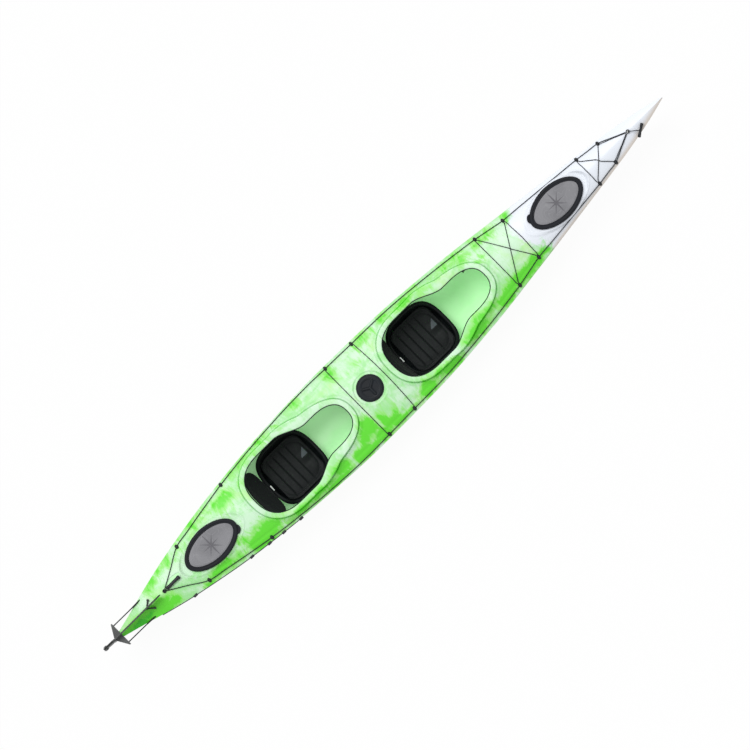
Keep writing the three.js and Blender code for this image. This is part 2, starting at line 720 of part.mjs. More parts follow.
function roundLid() {
  const { lidRadius, lidEdge, plugDepth, plugWall } = roundHatch;
  const plug = roundInner - turnGap;
  const cavity = plug - plugWall;
  const sealOut = roundInner + ringSeal.width + turnGap;
  let lid = turned([
    [0, lidBase], [cavity, lidBase], [cavity, -plugDepth], [plug, -plugDepth], [plug, lidBase],
    [sealOut, lidBase], [sealOut, frameTop + touchGap], [lidRadius, frameTop + touchGap], [lidRadius, lidTop - lidEdge],
    [lidRadius - lidEdge, lidTop], [0, lidTop],
  ], roundHatchX, roundSeatZ);
  for (let i = 0; i < grip.arms; i++) {
    const angle = -Math.PI / 2 + (2 * Math.PI * i) / grip.arms;
    const arm = box([0, -grip.width / 2, 0], [grip.reach, grip.width / 2, grip.height + grip.sink]);
    const pocket = [];
    const near = angle + Math.PI / grip.arms;
    for (let k = 0; k <= 6; k++) {
      const turn = near + grip.pocketTurn * (k / 3 - 1);
      pocket.push([grip.pocketFar * Math.cos(turn), grip.pocketFar * Math.sin(turn)]);
    }
    for (let k = 6; k >= 0; k -= 2) {
      const turn = near + grip.pocketTurn * grip.pocketTaper * (k / 3 - 1);
      pocket.push([grip.pocketNear * Math.cos(turn), grip.pocketNear * Math.sin(turn)]);
    }
    const place = [roundHatchX, 0, roundSeatZ + lidTop];
    const armPlace = [roundHatchX, 0, roundSeatZ + lidTop - grip.sink];
    lid = lid.subtract(prism(pocket, -grip.pocketDepth, cutOverrun).translate(place));
    lid = lid.add(arm.rotate([0, 0, THREE.MathUtils.radToDeg(angle)]).translate(armPlace));
  }
  return lid;
}

// Rudder: bracket and pin on the stern, a head with two cheeks, a yoke, and the blade stowed on deck

const lugs = [rudder.lugLowZ, rudder.lugHighZ];

function sternBracket() {
  const face = sternX - touchGap;
  const plateLow = [face - rudder.plateThick, -rudder.plateHalf, rudder.plateLowZ];
  const pieces = [box(plateLow, [face, rudder.plateHalf, rudder.plateHighZ])];
  for (const low of lugs) {
    const high = low + rudder.lugThick;
    pieces.push(box([pinX, -rudder.lugRadius, low], [face - rudder.plateThick / 2, rudder.lugRadius, high]));
    pieces.push(rod([pinX, 0, low], [pinX, 0, high], rudder.lugRadius, 16));
  }
  const bore = rod([pinX, 0, 0], [pinX, 0, bowHeight], rudder.bore, 16);
  return Manifold.union(pieces).subtract(bore);
}

function rudderPin() {
  const top = rudder.lugHighZ + rudder.lugThick + touchGap;
  const tip = [pinX, 0, top + rudder.pinHeadHeight];
  const shaft = rod([pinX, 0, rudder.lugLowZ - rudder.pinReach], tip, rudder.pinRadius, 16);
  return shaft.add(rod([pinX, 0, top], tip, rudder.pinHeadRadius, 16));
}

function rudderHead() {
  const { columnHalf, columnFront, columnAft, columnLowZ, shelfLowZ, shelfTopZ } = rudder;
  const { sleeveRadius, cheekThick, pivotZ } = rudder;
  const low = rudder.lugLowZ + rudder.lugThick + touchGap;
  const high = rudder.lugHighZ - touchGap;
  const aft = sternX - rudderOverhang;
  const sleeve = rod([pinX, 0, low], [pinX, 0, high], sleeveRadius, 16);
  const web = box([pinX - columnFront, -columnHalf, columnLowZ], [pinX, columnHalf, high - sleeveRadius]);
  const column = box([pinX - columnAft, -columnHalf, columnLowZ], [pinX - columnFront, columnHalf, shelfTopZ]);
  const shelf = box([pinX - columnAft, -columnHalf, shelfLowZ], [pinX + sleeveRadius, columnHalf, shelfTopZ]);
  const front = pinX - rudder.yokeAft - touchGap;
  const outline = [
    [front, columnLowZ + cutOverrun], [front, pivotZ + cheek.frontRise],
    [pinX - cheek.crownAft, pivotZ + cheek.crownRise], [pivotX - cheek.backFore, pivotZ + cheek.backRise],
    [aft, pivotZ + cheek.tailRise], [aft, pivotZ - cheek.tailDrop],
    [pinX - cheek.footAft, columnLowZ + cutOverrun],
  ];
  const cheekY = blade.thick / 2 + blade.side + cheekThick / 2;
  const cheeks = [-1, 1].map((side) => plate(outline, cheekThick, 0).translate([0, side * cheekY, 0]));
  const bore = rod([pinX, 0, 0], [pinX, 0, shelfLowZ], rudder.bore, 16);
  const boltRadius = rudder.pivotRadius + touchGap;
  const bolt = rod([pivotX, -halfBeamMax, pivotZ], [pivotX, halfBeamMax, pivotZ], boltRadius);
  return Manifold.union([sleeve, web, column, shelf, ...cheeks]).subtract(bore).subtract(bolt);
}

function rudderYoke() {
  const front = pinX + rudder.yokeFront;
  const tip = [front - rudder.yokeTip, rudder.yokeHalf];
  const neck = [pinX - rudder.yokeAft, rudder.yokeNeck];
  const outline = [
    [front, rudder.yokeHalf], tip, neck, [neck[0], -neck[1]], [tip[0], -tip[1]], [front, -rudder.yokeHalf],
  ];
  return prism(outline, yokeZ, yokeZ + rudder.yokeThick);
}

const bladeShares = [
  [0.06, -0.25], [0.3, -0.262], [0.62, -0.262], [0.86, -0.24], [0.965, -0.08], [1, 0.24], [0.97, 0.52],
  [0.87, 0.68], [0.68, 0.737], [0.45, 0.68], [0.24, 0.44], [0.09, 0.24],
];

function rudderBlade() {
  const root = Array.from({ length: 7 }, (_, i) => {
    const angle = Math.PI / 2 + (Math.PI * i) / 6;
    return new THREE.Vector2(blade.rootRadius * Math.cos(angle), blade.rootRadius * Math.sin(angle));
  });
  const edge = new THREE.SplineCurve([
    root.at(-1), ...bladeShares.map(([x, z]) => new THREE.Vector2(x * blade.length, z * blade.chord)), root[0],
  ]);
  const { pivotZ, pivotRadius } = rudder;
  const loop = [...root, ...edge.getPoints(24).slice(1, -1)];
  const outline = loop.map((point) => [pivotX + point.x, pivotZ + point.y]);
  const hole = rod([pivotX, -blade.thick, pivotZ], [pivotX, blade.thick, pivotZ], pivotRadius + touchGap);
  return plate(outline, blade.thick, blade.bevel).subtract(hole);
}

function bladeBolt() {
  const face = blade.thick / 2 + blade.side + rudder.cheekThick + touchGap;
  const end = face + rudder.headThick;
  const at = (y) => [pivotX, y, rudder.pivotZ];
  const heads = [-1, 1].map((side) => rod(at(side * face), at(side * end), rudder.headRadius));
  return Manifold.union([rod(at(-end), at(end), rudder.pivotRadius), ...heads]);
}

const chock = { share: 0.0474, reach: 48, spread: 40, width: 9, knob: 8, topZ: 373.5, depth: 30 };

// The V-shaped rest under the stowed blade
function rudderChock() {
  const x = placeX(chock.share);
  const low = chock.topZ - chock.depth;
  const pieces = [rod([x, 0, low], [x, 0, chock.topZ], chock.width)];
  for (const side of [-1, 1]) {
    const end = [x + chock.reach, side * chock.spread];
    const along = new THREE.Vector2(chock.reach, side * chock.spread);
    along.normalize().multiplyScalar(chock.width / 2);
    const bar = [
      [x - along.y, along.x], [x + along.y, -along.x],
      [end[0] + along.y, end[1] - along.x], [end[0] - along.y, end[1] + along.x],
    ];
    pieces.push(prism(bar, low, chock.topZ), rod([...end, low], [...end, chock.topZ], chock.knob));
  }
  return seatOnDeck(Manifold.union(pieces));
}

// Deck rigging

const line = { radius: 2.5, lift: 6, endLift: 8, steps: 34, low: 3.8, hug: 55, between: 150 };
const fitting = { width: 32, base: 4, archHalf: 11, archDepth: 13, height: 14, sink: 6 };
const fittingShares = [
  [0.1321, 0.833], [0.2301, 0.93], [0.4355, 0.942], [0.4827, 0.935], [0.6952, 0.879], [0.7386, 0.795],
  [0.8633, 0.843], [0.8978, 0.797],
];
const eye = { sternShare: 0.0803, bowShare: 0.9366, radius: 13, ring: 12, wire: 3.5, base: 5, lift: 7 };
const eyeKnotShares = { stern: 0.75, bow: 0.5 };
const sternEyeX = placeX(eye.sternShare);
const bowEyeX = placeX(eye.bowShare);
const fittings = fittingShares.map(([along, across]) => [placeX(along), across * halfBeam(placeX(along))]);
const onDeck = (x, y, lift) => [x, y, deckZ(x, y) + lift];
const across = (i) => fittingShares[i][1];

function deckLine(side, extra = 0) {
  const points = [onDeck(sternEyeX + eye.radius, side * eye.radius * eyeKnotShares.stern, line.endLift)];
  fittings.forEach(([x, y], i) => {
    const before = i === 0 ? [sternEyeX, 0] : fittings[i - 1];
    const parts = Math.max(2, Math.round((x - before[0]) / line.between));
    for (let k = 1; k < parts; k++) {
      const t = k / parts;
      const between = before[1] + (y - before[1]) * t;
      const bow = before[0] + (x - before[0]) * t;
      const held = i === 0 ? 0 : across(i - 1) * (1 - t) + across(i) * t;
      const out = Math.max(between, halfBeam(bow) * held);
      points.push(onDeck(bow, side * out, line.lift));
    }
    points.push(onDeck(x, side * y, line.lift));
  });
  const [lastX, lastY] = fittings.at(-1);
  points.push(onDeck((lastX + bowEyeX) / 2, (side * lastY) / 2, line.lift));
  points.push(onDeck(bowEyeX - eye.radius - eye.wire, side * eye.radius * eyeKnotShares.bow, line.endLift));
  return tube(points, line.radius + extra, line.steps);
}

function deckFitting(index, side) {
  const [x, y] = fittings[index];
  const step = fitting.base;
  const slope = Math.atan2(deckZ(x, y + step) - deckZ(x, y - step), 2 * step);
  const arch = new THREE.Shape();
  arch.moveTo(-fitting.width / 2, -fitting.sink);
  arch.lineTo(fitting.width / 2, -fitting.sink);
  arch.lineTo(fitting.width / 2, fitting.base);
  arch.absellipse(0, fitting.base, fitting.archHalf, fitting.height - fitting.base, 0, Math.PI, false);
  arch.lineTo(-fitting.width / 2, fitting.base);
  arch.closePath();
  const options = { depth: fitting.archDepth, bevelEnabled: false, curveSegments: 3 };
  const geometry = new THREE.ExtrudeGeometry(arch, options);
  geometry.translate(0, 0, -fitting.archDepth / 2);
  geometry.rotateX(Math.PI / 2);
  geometry.rotateZ(Math.PI / 2);
  const turn = [THREE.MathUtils.radToDeg(slope) * side, 0, 0];
  const body = solid(geometry).rotate(turn).translate(onDeck(x, side * y, 0));
  return seatOnDeck(body).subtract(deckLine(side, touchGap));
}

// Cords that hug the deck: a list of plan points, each with an extra lift, filled in along the deck's curve
function deckCord(points, radius, steps) {
  const full = points.flatMap(([x, y, lift = 0], i) => {
    const [nx, ny, nextLift = 0] = points[Math.min(i + 1, points.length - 1)];
    const parts = Math.max(1, Math.round(Math.hypot(nx - x, ny - y) / line.hug));
    return Array.from({ length: parts }, (_, k) => {
      const t = k / parts;
      return onDeck(x + (nx - x) * t, y + (ny - y) * t, line.low + lift + (nextLift - lift) * t);
    });
  });
  return tube(full, radius, steps);
}

const bungee = { radius: 2.2, inner: 19.5, loop: 9, hump: 6.5, steps: 28, crossSteps: 10 };
const crossLineShares = [-1, -0.66, -0.33, 0, 0.33, 0.66, 1];

function crossLine(index, bulge) {
  const [x, y] = fittings[index];
  const end = y - fitting.width / 2 - touchGap;
  const route = crossLineShares.map((t) => [x + bulge * (1 - t * t), end * t]);
  return deckCord(route, bungee.radius, bungee.crossSteps);
}

// One elastic cord laced to and fro between two pairs of fittings
function crossedBungee(aft, fore, closed) {
  const [ax, ay] = fittings[aft];
  const [fx, fy] = fittings[fore];
  const a = ay - bungee.inner;
  const f = fy - bungee.inner;
  const middle = [(ax * f + fx * a) / (a + f), 0];
  const { loop, hump } = bungee;
  const points = closed
    ? [[ax - loop, a], [ax - loop, a / 2], [ax - loop, -a / 2], [ax - loop, loop - a], [ax, -a],
      [ax + loop, 2 * loop - a], middle, [fx - loop, f - 2 * loop], [fx, f], [fx + loop, f - loop],
      [fx + 2 * loop, 0], [fx + loop, loop - f], [fx, -f], [fx - loop, 2 * loop - f],
      [middle[0] + loop, -loop * 2, hump / 2], [...middle, hump], [middle[0] - loop, loop * 2, hump / 2],
      [ax + 2 * loop, a - 2 * loop]]
    : [[fx - loop, f], middle, [ax + loop, 2 * loop - a], [ax, -a], [ax - loop, loop - a], [ax - loop, 0],
      [ax - loop, a - loop], [ax, a], [ax + loop, a - 2 * loop], [middle[0] - loop, loop * 2, hump / 2],
      [...middle, hump], [middle[0] + loop, -loop * 2, hump / 2], [fx - loop, -f]];
  return deckCord(points, bungee.radius, bungee.steps);
}

function deckEye(x) {
  const z = deckZ(x, 0);
  const base = rod([x, 0, z - fitting.sink], [x, 0, z + eye.base], eye.radius, 12);
  const hoop = new THREE.TorusGeometry(eye.ring, eye.wire, 5, 12);
  return seatOnDeck(base.add(solid(hoop).translate([x, 0, z + eye.lift])));
}

// Carry toggles: a moulded bar on a short cord from the eye at each end
const toggle = { radius: 12, waist: 9.5, edge: 3, cord: 3, cordRise: 3, steps: 4 };
const toggleShares = { grip: 0.62, waist: 0.4 };
const toggleCordShares = { fore: 0.77, out: 0.63 };
const bowToggle = { near: [28.8268, -88, 0.7474], far: [114.8268, -30, 20.7474] };
const bowToggleEnds = Object.values(bowToggle).map(([fore, out, up]) => {
  return [bowEyeX + fore, out, deckZ(bowEyeX, 0) + up];
});
const sternToggle = { near: 22, length: 130, radius: 11, lift: 13, knob: 12, knobLength: 18 };

function barrelBar(from, to, radius, waist) {
  const start = new THREE.Vector3(...from);
  const end = new THREE.Vector3(...to);
  const half = start.distanceTo(end) / 2;
  const { edge } = toggle;
  const profile = [
    [0, -half], [radius - edge, -half], [radius, -half + edge], [radius, -half * toggleShares.grip],
    [waist, -half * toggleShares.waist], [waist, half * toggleShares.waist], [radius, half * toggleShares.grip],
    [radius, half - edge], [radius - edge, half], [0, half],
  ];
  const geometry = new THREE.LatheGeometry(profile.map(([r, h]) => new THREE.Vector2(r, h)), 12);
  const along = end.clone().sub(start).normalize();
  geometry.applyQuaternion(new THREE.Quaternion().setFromUnitVectors(new THREE.Vector3(0, 1, 0), along));
  geometry.translate(...start.add(end).divideScalar(2).toArray());
  return solid(geometry);
}

function bowToggleBar() {
  return barrelBar(...bowToggleEnds, toggle.radius, toggle.waist);
}

function bowToggleCord() {
  const middle = bowToggleEnds[0].map((value, i) => (value + bowToggleEnds[1][i]) / 2);
  const z = deckZ(bowEyeX, 0) + eye.lift + eye.wire + toggle.cord;
  const start = [bowEyeX + eye.ring * toggleCordShares.fore, -eye.ring * toggleCordShares.out, z];
  const between = [(start[0] + middle[0]) / 2, (start[1] + middle[1]) / 2, z + toggle.cordRise];
  const cord = tube([start, between, middle], toggle.cord, toggle.steps);
  return cord.subtract(barrelBar(...bowToggleEnds, toggle.radius + touchGap, toggle.waist + touchGap));
}

function sternToggleBody() {
  const x = sternEyeX + sternToggle.near;
  const z = deckZ(sternEyeX, 0) + sternToggle.lift;
  const bar = rod([x, 0, z], [x + sternToggle.length, 0, z], sternToggle.radius, 12);
  const end = x + sternToggle.length;
  return bar.add(rod([end - sternToggle.knobLength, 0, z], [end, 0, z], sternToggle.knob, 12));
}

function sternToggleCord() {
  const z = deckZ(sternEyeX, 0) + eye.lift + eye.wire + toggle.cord + touchGap;
  const x = sternEyeX + sternToggle.near;
  const route = [[sternEyeX - toggle.cord, 0, z], [sternEyeX + toggle.cord, 0, z], [x - touchGap, 0, z]];
  return tube(route, toggle.cord, toggle.steps);
}

// The rudder's lift line, along the starboard gunwale to its cleat beside the rear seat
const liftLine = { radius: 2, gap: 0.6, drop: 6, fromShare: 0.0565, toShare: 0.2723, points: 12, steps: 14 };

function buildLiftLine() {
  const points = Array.from({ length: liftLine.points }, (_, i) => {
    const share = liftLine.fromShare + ((liftLine.toShare - liftLine.fromShare) * i) / (liftLine.points - 1);
    const x = placeX(share);
    return [x, -(halfBeam(x) + liftLine.radius + liftLine.gap), bowHeight * sheerAt(share) - liftLine.drop];
  });
  return tube(points, liftLine.radius, liftLine.steps);
}

// The exported scene graph

const kayak = new THREE.Group();

function addPiece(name, shape, material) {
  const mesh = shape.getMesh();
  const geometry = new THREE.BufferGeometry();
  const positions = new Float32Array(mesh.numVert * 3);
  for (let i = 0; i < mesh.numVert; i++) {
    for (let k = 0; k < 3; k++) positions[3 * i + k] = mesh.vertProperties[i * mesh.numProp + k];
  }
  geometry.setAttribute('position', new THREE.BufferAttribute(positions, 3));
  geometry.setIndex(Array.from(mesh.triVerts));
  geometry.computeVertexNormals();
  const piece = new THREE.Mesh(geometry, material);
  piece.name = name;
  kayak.add(piece);
}

const finish = (color, roughness, metalness = 0) => {
  return new THREE.MeshStandardMaterial({ color, roughness, metalness });
};
const shellPlastic = finish(0xa9ea9c, 0.42);
const foam = finish(0x4a4d50, 0.9);
const seatPlastic = finish(0x15181a, 0.5);
const padFabric = finish(0x0d1012, 0.7);
const rubber = finish(0x2c2e33, 0.65);
const greyPlastic = finish(0x8f8d93, 0.55);
const blackPlastic = finish(0x1c1e21, 0.45);
const steel = finish(0x9a9da0, 0.3, 1);
const cordFibre = finish(0x2b3034, 0.8);

addPiece('hull_shell', buildHull(), shellPlastic);
const bulkheadX = { front: hingeX(seatX.front) - frontBulkheadGap };
for (const [name, share] of Object.entries(bulkheadShares)) bulkheadX[name] = placeX(share);
for (const [name, x] of Object.entries(bulkheadX)) addPiece(`bulkhead_${name}`, bulkhead(x), foam);
for (const end of ['front', 'rear']) {
  addPiece(`${end}_seat_pan`, seatPan(seatX[end]), seatPlastic);
  addPiece(`${end}_seat_pad`, seatPad(seatX[end]), padFabric);
  addPiece(`${end}_backrest`, buildBackrest(seatX[end], backrest.lean[end]), padFabric);
  addPiece(`${end}_hatch_cover`, hatchCoverBody(hatchX[end], end === 'front' ? -1 : 1), rubber);
  addPiece(`${end}_hatch_panel`, hatchPanelBody(hatchX[end]), greyPlastic);
  addPiece(`${end}_pedal_port`, footPedal(placeX(footRailShares[end]), 1), blackPlastic);
  addPiece(`${end}_pedal_starboard`, footPedal(placeX(footRailShares[end]), -1), blackPlastic);
}
addPiece('round_hatch_frame', roundFrame(), blackPlastic);
addPiece('round_hatch_seal', roundSeal(), rubber);
addPiece('round_hatch_lid', roundLid(), blackPlastic);
addPiece('stern_bracket', sternBracket(), blackPlastic);
addPiece('rudder_pin', rudderPin(), steel);
addPiece('rudder_head', rudderHead(), blackPlastic);
addPiece('rudder_yoke', rudderYoke(), blackPlastic);
addPiece('rudder_blade', rudderBlade(), blackPlastic);
addPiece('blade_bolt', bladeBolt(), steel);
addPiece('rudder_chock', rudderChock(), blackPlastic);
addPiece('stern_eye', deckEye(sternEyeX), blackPlastic);
addPiece('bow_eye', deckEye(bowEyeX), blackPlastic);
addPiece('bow_toggle', bowToggleBar(), blackPlastic);
addPiece('bow_toggle_cord', bowToggleCord(), cordFibre);
addPiece('stern_toggle', sternToggleBody(), blackPlastic);
addPiece('stern_toggle_cord', sternToggleCord(), cordFibre);
addPiece('lift_line', buildLiftLine(), cordFibre);
addPiece('cross_line_aft', crossLine(2, 0), cordFibre);
addPiece('cross_line_fore', crossLine(3, 12), cordFibre);
addPiece('foredeck_bungee', crossedBungee(4, 5, true), cordFibre);
addPiece('bow_bungee', crossedBungee(6, 7, false), cordFibre);
for (const [name, side] of [['port', 1], ['starboard', -1]]) {
  addPiece(`steering_cable_${name}`, steeringCable(side), cordFibre);
  addPiece(`deck_line_${name}`, deckLine(side), cordFibre);
  fittings.forEach((_, i) => addPiece(`fitting_${i + 1}_${name}`, deckFitting(i, side), blackPlastic));
}

export default kayak;
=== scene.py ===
"""A tandem sea kayak, dressed for the studio over its fixed frame.

Metres. +X to the bow, +Y to port, +Z up from the flat of the keel.
"""

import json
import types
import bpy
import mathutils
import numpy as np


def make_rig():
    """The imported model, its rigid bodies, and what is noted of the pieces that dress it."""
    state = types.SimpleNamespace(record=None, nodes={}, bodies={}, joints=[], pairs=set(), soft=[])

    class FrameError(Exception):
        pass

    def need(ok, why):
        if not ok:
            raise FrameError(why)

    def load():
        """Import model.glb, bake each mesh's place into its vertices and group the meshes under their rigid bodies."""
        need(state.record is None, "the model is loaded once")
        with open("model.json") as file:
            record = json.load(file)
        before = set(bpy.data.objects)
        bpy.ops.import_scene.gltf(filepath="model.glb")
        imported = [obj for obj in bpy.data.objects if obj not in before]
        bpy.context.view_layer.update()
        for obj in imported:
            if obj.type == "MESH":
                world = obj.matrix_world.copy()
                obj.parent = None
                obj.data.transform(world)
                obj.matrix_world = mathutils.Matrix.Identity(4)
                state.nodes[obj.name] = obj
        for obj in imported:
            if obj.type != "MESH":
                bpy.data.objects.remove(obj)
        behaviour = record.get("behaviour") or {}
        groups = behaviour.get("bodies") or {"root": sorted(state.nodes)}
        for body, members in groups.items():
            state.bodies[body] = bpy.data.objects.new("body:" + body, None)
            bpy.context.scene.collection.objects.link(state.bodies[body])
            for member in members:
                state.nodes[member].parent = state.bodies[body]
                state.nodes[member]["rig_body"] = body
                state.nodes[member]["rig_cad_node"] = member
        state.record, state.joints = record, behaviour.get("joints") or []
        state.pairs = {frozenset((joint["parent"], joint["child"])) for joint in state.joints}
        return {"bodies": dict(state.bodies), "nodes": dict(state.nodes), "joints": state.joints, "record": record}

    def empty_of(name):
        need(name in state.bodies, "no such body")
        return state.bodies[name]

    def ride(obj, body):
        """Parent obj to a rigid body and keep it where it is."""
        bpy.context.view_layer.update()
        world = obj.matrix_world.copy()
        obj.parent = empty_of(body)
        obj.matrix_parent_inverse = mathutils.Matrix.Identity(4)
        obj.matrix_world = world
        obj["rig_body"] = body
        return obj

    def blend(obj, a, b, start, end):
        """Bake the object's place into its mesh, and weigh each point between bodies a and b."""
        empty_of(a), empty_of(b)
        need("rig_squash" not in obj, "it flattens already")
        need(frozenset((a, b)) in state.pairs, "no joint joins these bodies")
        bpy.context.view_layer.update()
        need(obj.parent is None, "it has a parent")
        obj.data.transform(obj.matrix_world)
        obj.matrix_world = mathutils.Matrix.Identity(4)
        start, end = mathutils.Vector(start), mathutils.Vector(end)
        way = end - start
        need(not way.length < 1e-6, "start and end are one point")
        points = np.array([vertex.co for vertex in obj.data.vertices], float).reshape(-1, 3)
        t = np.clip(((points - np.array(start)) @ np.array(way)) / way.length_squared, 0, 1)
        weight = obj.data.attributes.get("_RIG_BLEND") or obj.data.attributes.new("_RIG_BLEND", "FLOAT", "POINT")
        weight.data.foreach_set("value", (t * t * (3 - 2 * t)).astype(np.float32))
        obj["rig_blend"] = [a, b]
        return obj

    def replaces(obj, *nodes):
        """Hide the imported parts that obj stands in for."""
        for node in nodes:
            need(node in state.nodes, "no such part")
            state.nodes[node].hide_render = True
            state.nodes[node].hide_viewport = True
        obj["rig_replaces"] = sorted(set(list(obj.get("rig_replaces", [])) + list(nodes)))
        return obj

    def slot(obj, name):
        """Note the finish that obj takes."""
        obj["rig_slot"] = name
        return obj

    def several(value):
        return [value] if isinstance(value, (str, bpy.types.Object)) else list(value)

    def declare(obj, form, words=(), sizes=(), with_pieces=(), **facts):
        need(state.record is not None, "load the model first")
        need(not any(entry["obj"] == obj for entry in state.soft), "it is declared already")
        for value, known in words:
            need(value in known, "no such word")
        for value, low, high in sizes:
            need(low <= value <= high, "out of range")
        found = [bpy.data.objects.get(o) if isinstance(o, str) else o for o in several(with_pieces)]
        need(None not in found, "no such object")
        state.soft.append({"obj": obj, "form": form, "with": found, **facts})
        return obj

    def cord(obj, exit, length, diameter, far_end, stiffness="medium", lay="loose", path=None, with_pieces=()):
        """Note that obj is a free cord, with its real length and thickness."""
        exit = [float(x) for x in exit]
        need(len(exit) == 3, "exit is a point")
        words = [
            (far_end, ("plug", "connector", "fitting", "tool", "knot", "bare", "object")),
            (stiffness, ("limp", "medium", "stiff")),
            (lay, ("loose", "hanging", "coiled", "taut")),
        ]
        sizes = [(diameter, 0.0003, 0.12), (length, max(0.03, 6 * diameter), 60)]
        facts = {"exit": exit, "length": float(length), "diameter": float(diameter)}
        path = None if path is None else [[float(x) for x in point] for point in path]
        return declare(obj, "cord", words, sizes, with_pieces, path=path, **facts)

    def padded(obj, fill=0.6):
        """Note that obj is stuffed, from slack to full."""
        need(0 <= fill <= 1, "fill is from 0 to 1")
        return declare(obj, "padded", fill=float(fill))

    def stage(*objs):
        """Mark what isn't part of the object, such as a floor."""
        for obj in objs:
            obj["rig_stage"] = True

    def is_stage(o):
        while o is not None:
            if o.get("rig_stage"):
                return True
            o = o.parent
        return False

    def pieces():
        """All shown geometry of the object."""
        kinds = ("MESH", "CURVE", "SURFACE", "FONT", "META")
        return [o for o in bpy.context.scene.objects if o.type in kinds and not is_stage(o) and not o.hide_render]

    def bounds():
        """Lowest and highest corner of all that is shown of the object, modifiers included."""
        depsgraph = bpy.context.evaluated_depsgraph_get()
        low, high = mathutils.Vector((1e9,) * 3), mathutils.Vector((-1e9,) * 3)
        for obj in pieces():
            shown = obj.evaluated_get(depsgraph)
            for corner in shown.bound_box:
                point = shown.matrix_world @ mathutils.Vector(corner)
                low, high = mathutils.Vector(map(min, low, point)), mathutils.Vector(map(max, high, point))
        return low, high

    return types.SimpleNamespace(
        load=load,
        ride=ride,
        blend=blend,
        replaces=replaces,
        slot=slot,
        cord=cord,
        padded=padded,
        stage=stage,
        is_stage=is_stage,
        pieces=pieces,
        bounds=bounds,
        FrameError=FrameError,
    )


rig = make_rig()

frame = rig.load()
CAD_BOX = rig.bounds()

import json
import logging
import math
from collections.abc import Callable, Sequence
from dataclasses import dataclass, field
from enum import Enum

import bmesh
import bpy
import numpy as np
from mathutils import Matrix, Vector

log = logging.getLogger("kayak")
Array = np.ndarray
Table = Sequence[tuple[float, float]]
Colour = tuple[float, float, float, float]
Point = tuple[float, float, float]
Shape = bmesh.types.BMesh
Socket = bpy.types.NodeSocket


class Slot(Enum):
    """The record's material slots."""

    SHELL = "shell_plastic"
    FOAM = "foam"
    SEAT = "seat_plastic"
    PAD = "pad_cover"
    RUBBER = "hatch_rubber"
    PANEL = "hatch_panel_grey"
    BLACK = "black_plastic"
    STEEL = "stainless"
    CORD = "cord"


class End(Enum):
    """The two cockpits, or the two oval hatches."""

    FRONT = "front"
    REAR = "rear"


class Side(Enum):
    """Port or starboard, as the sign of Y."""

    PORT = 1
    STARBOARD = -1

    @property
    def label(self) -> str:
        """Its word in the names of pieces."""
        return self.name.lower()


@dataclass(frozen=True)
class Role:
    """Where a finished piece belongs.

    Args:
        body: The moving body that it rides on.
        slot: The record's material slot.
        stands_for: The solids that it is shown in place of.
        bend: For a piece that crosses a joint, the other body and the points where the bend
            starts and ends.
    """

    body: str
    slot: Slot
    stands_for: tuple[str, ...] = ()
    bend: tuple | None = None


# Small tools


def srgb(code: str) -> Colour:
    """Turns a hex colour into a linear one.

    Args:
        code: Six hex digits.

    Returns:
        Linear red, green and blue, and an alpha of 1.
    """
    parts = [int(code[i : i + 2], 16) / 255 for i in (0, 2, 4)]
    linear = [c / 12.92 if c <= 0.04045 else ((c + 0.055) / 1.055) ** 2.4 for c in parts]
    return (linear[0], linear[1], linear[2], 1.0)


def smoothstep(value: Array, low: float, high: float) -> Array:
    """A smooth step from 0 at low to 1 at high."""
    t = np.clip((value - low) / (high - low), 0, 1)
    return t * t * (3 - 2 * t)


def bell(value: Array, middle: float, width: float) -> Array:
    """A smooth bump of height 1 round a middle."""
    return np.exp(-(((value - middle) / width) ** 2))


def rounded(value: Array, power: float) -> Array:
    """1 in the middle, and falling in a round to 0 at -1 and at 1."""
    return np.sqrt(np.clip(1 - np.abs(value) ** power, 0, 1))


def super_oval(angle: Array, power: float) -> tuple[Array, Array]:
    """A unit superoval."""
    c, s = np.cos(angle), np.sin(angle)
    return np.sign(c) * np.abs(c) ** (2 / power), np.sign(s) * np.abs(s) ** (2 / power)


def through(table: Table) -> Callable[[Array], Array]:
    """A monotone cubic curve through a table's points.

    Args:
        table: Pairs of place and value, in rising order of place.

    Returns:
        A function from places to values.
    """
    at, value = np.array(table, dtype=float).T
    steps = np.diff(value) / np.diff(at)
    slopes = np.concatenate(([steps[0]], np.zeros(len(at) - 2), [steps[-1]]))
    for i in range(1, len(at) - 1):
        if steps[i - 1] * steps[i] > 0:
            slopes[i] = 2 * steps[i - 1] * steps[i] / (steps[i - 1] + steps[i])

    def curve(place: Array) -> Array:
        """The curve's value at each place."""
        t = np.clip(np.asarray(place, dtype=float), at[0], at[-1])
        k = np.clip(np.searchsorted(at, t, side="right") - 1, 0, len(at) - 2)
        width = at[k + 1] - at[k]
        u = (t - at[k]) / width
        low = value[k] * (1 + 2 * u) * (1 - u) ** 2 + slopes[k] * width * u * (1 - u) ** 2
        return low + value[k + 1] * u * u * (3 - 2 * u) + slopes[k + 1] * width * u * u * (u - 1)

    return curve


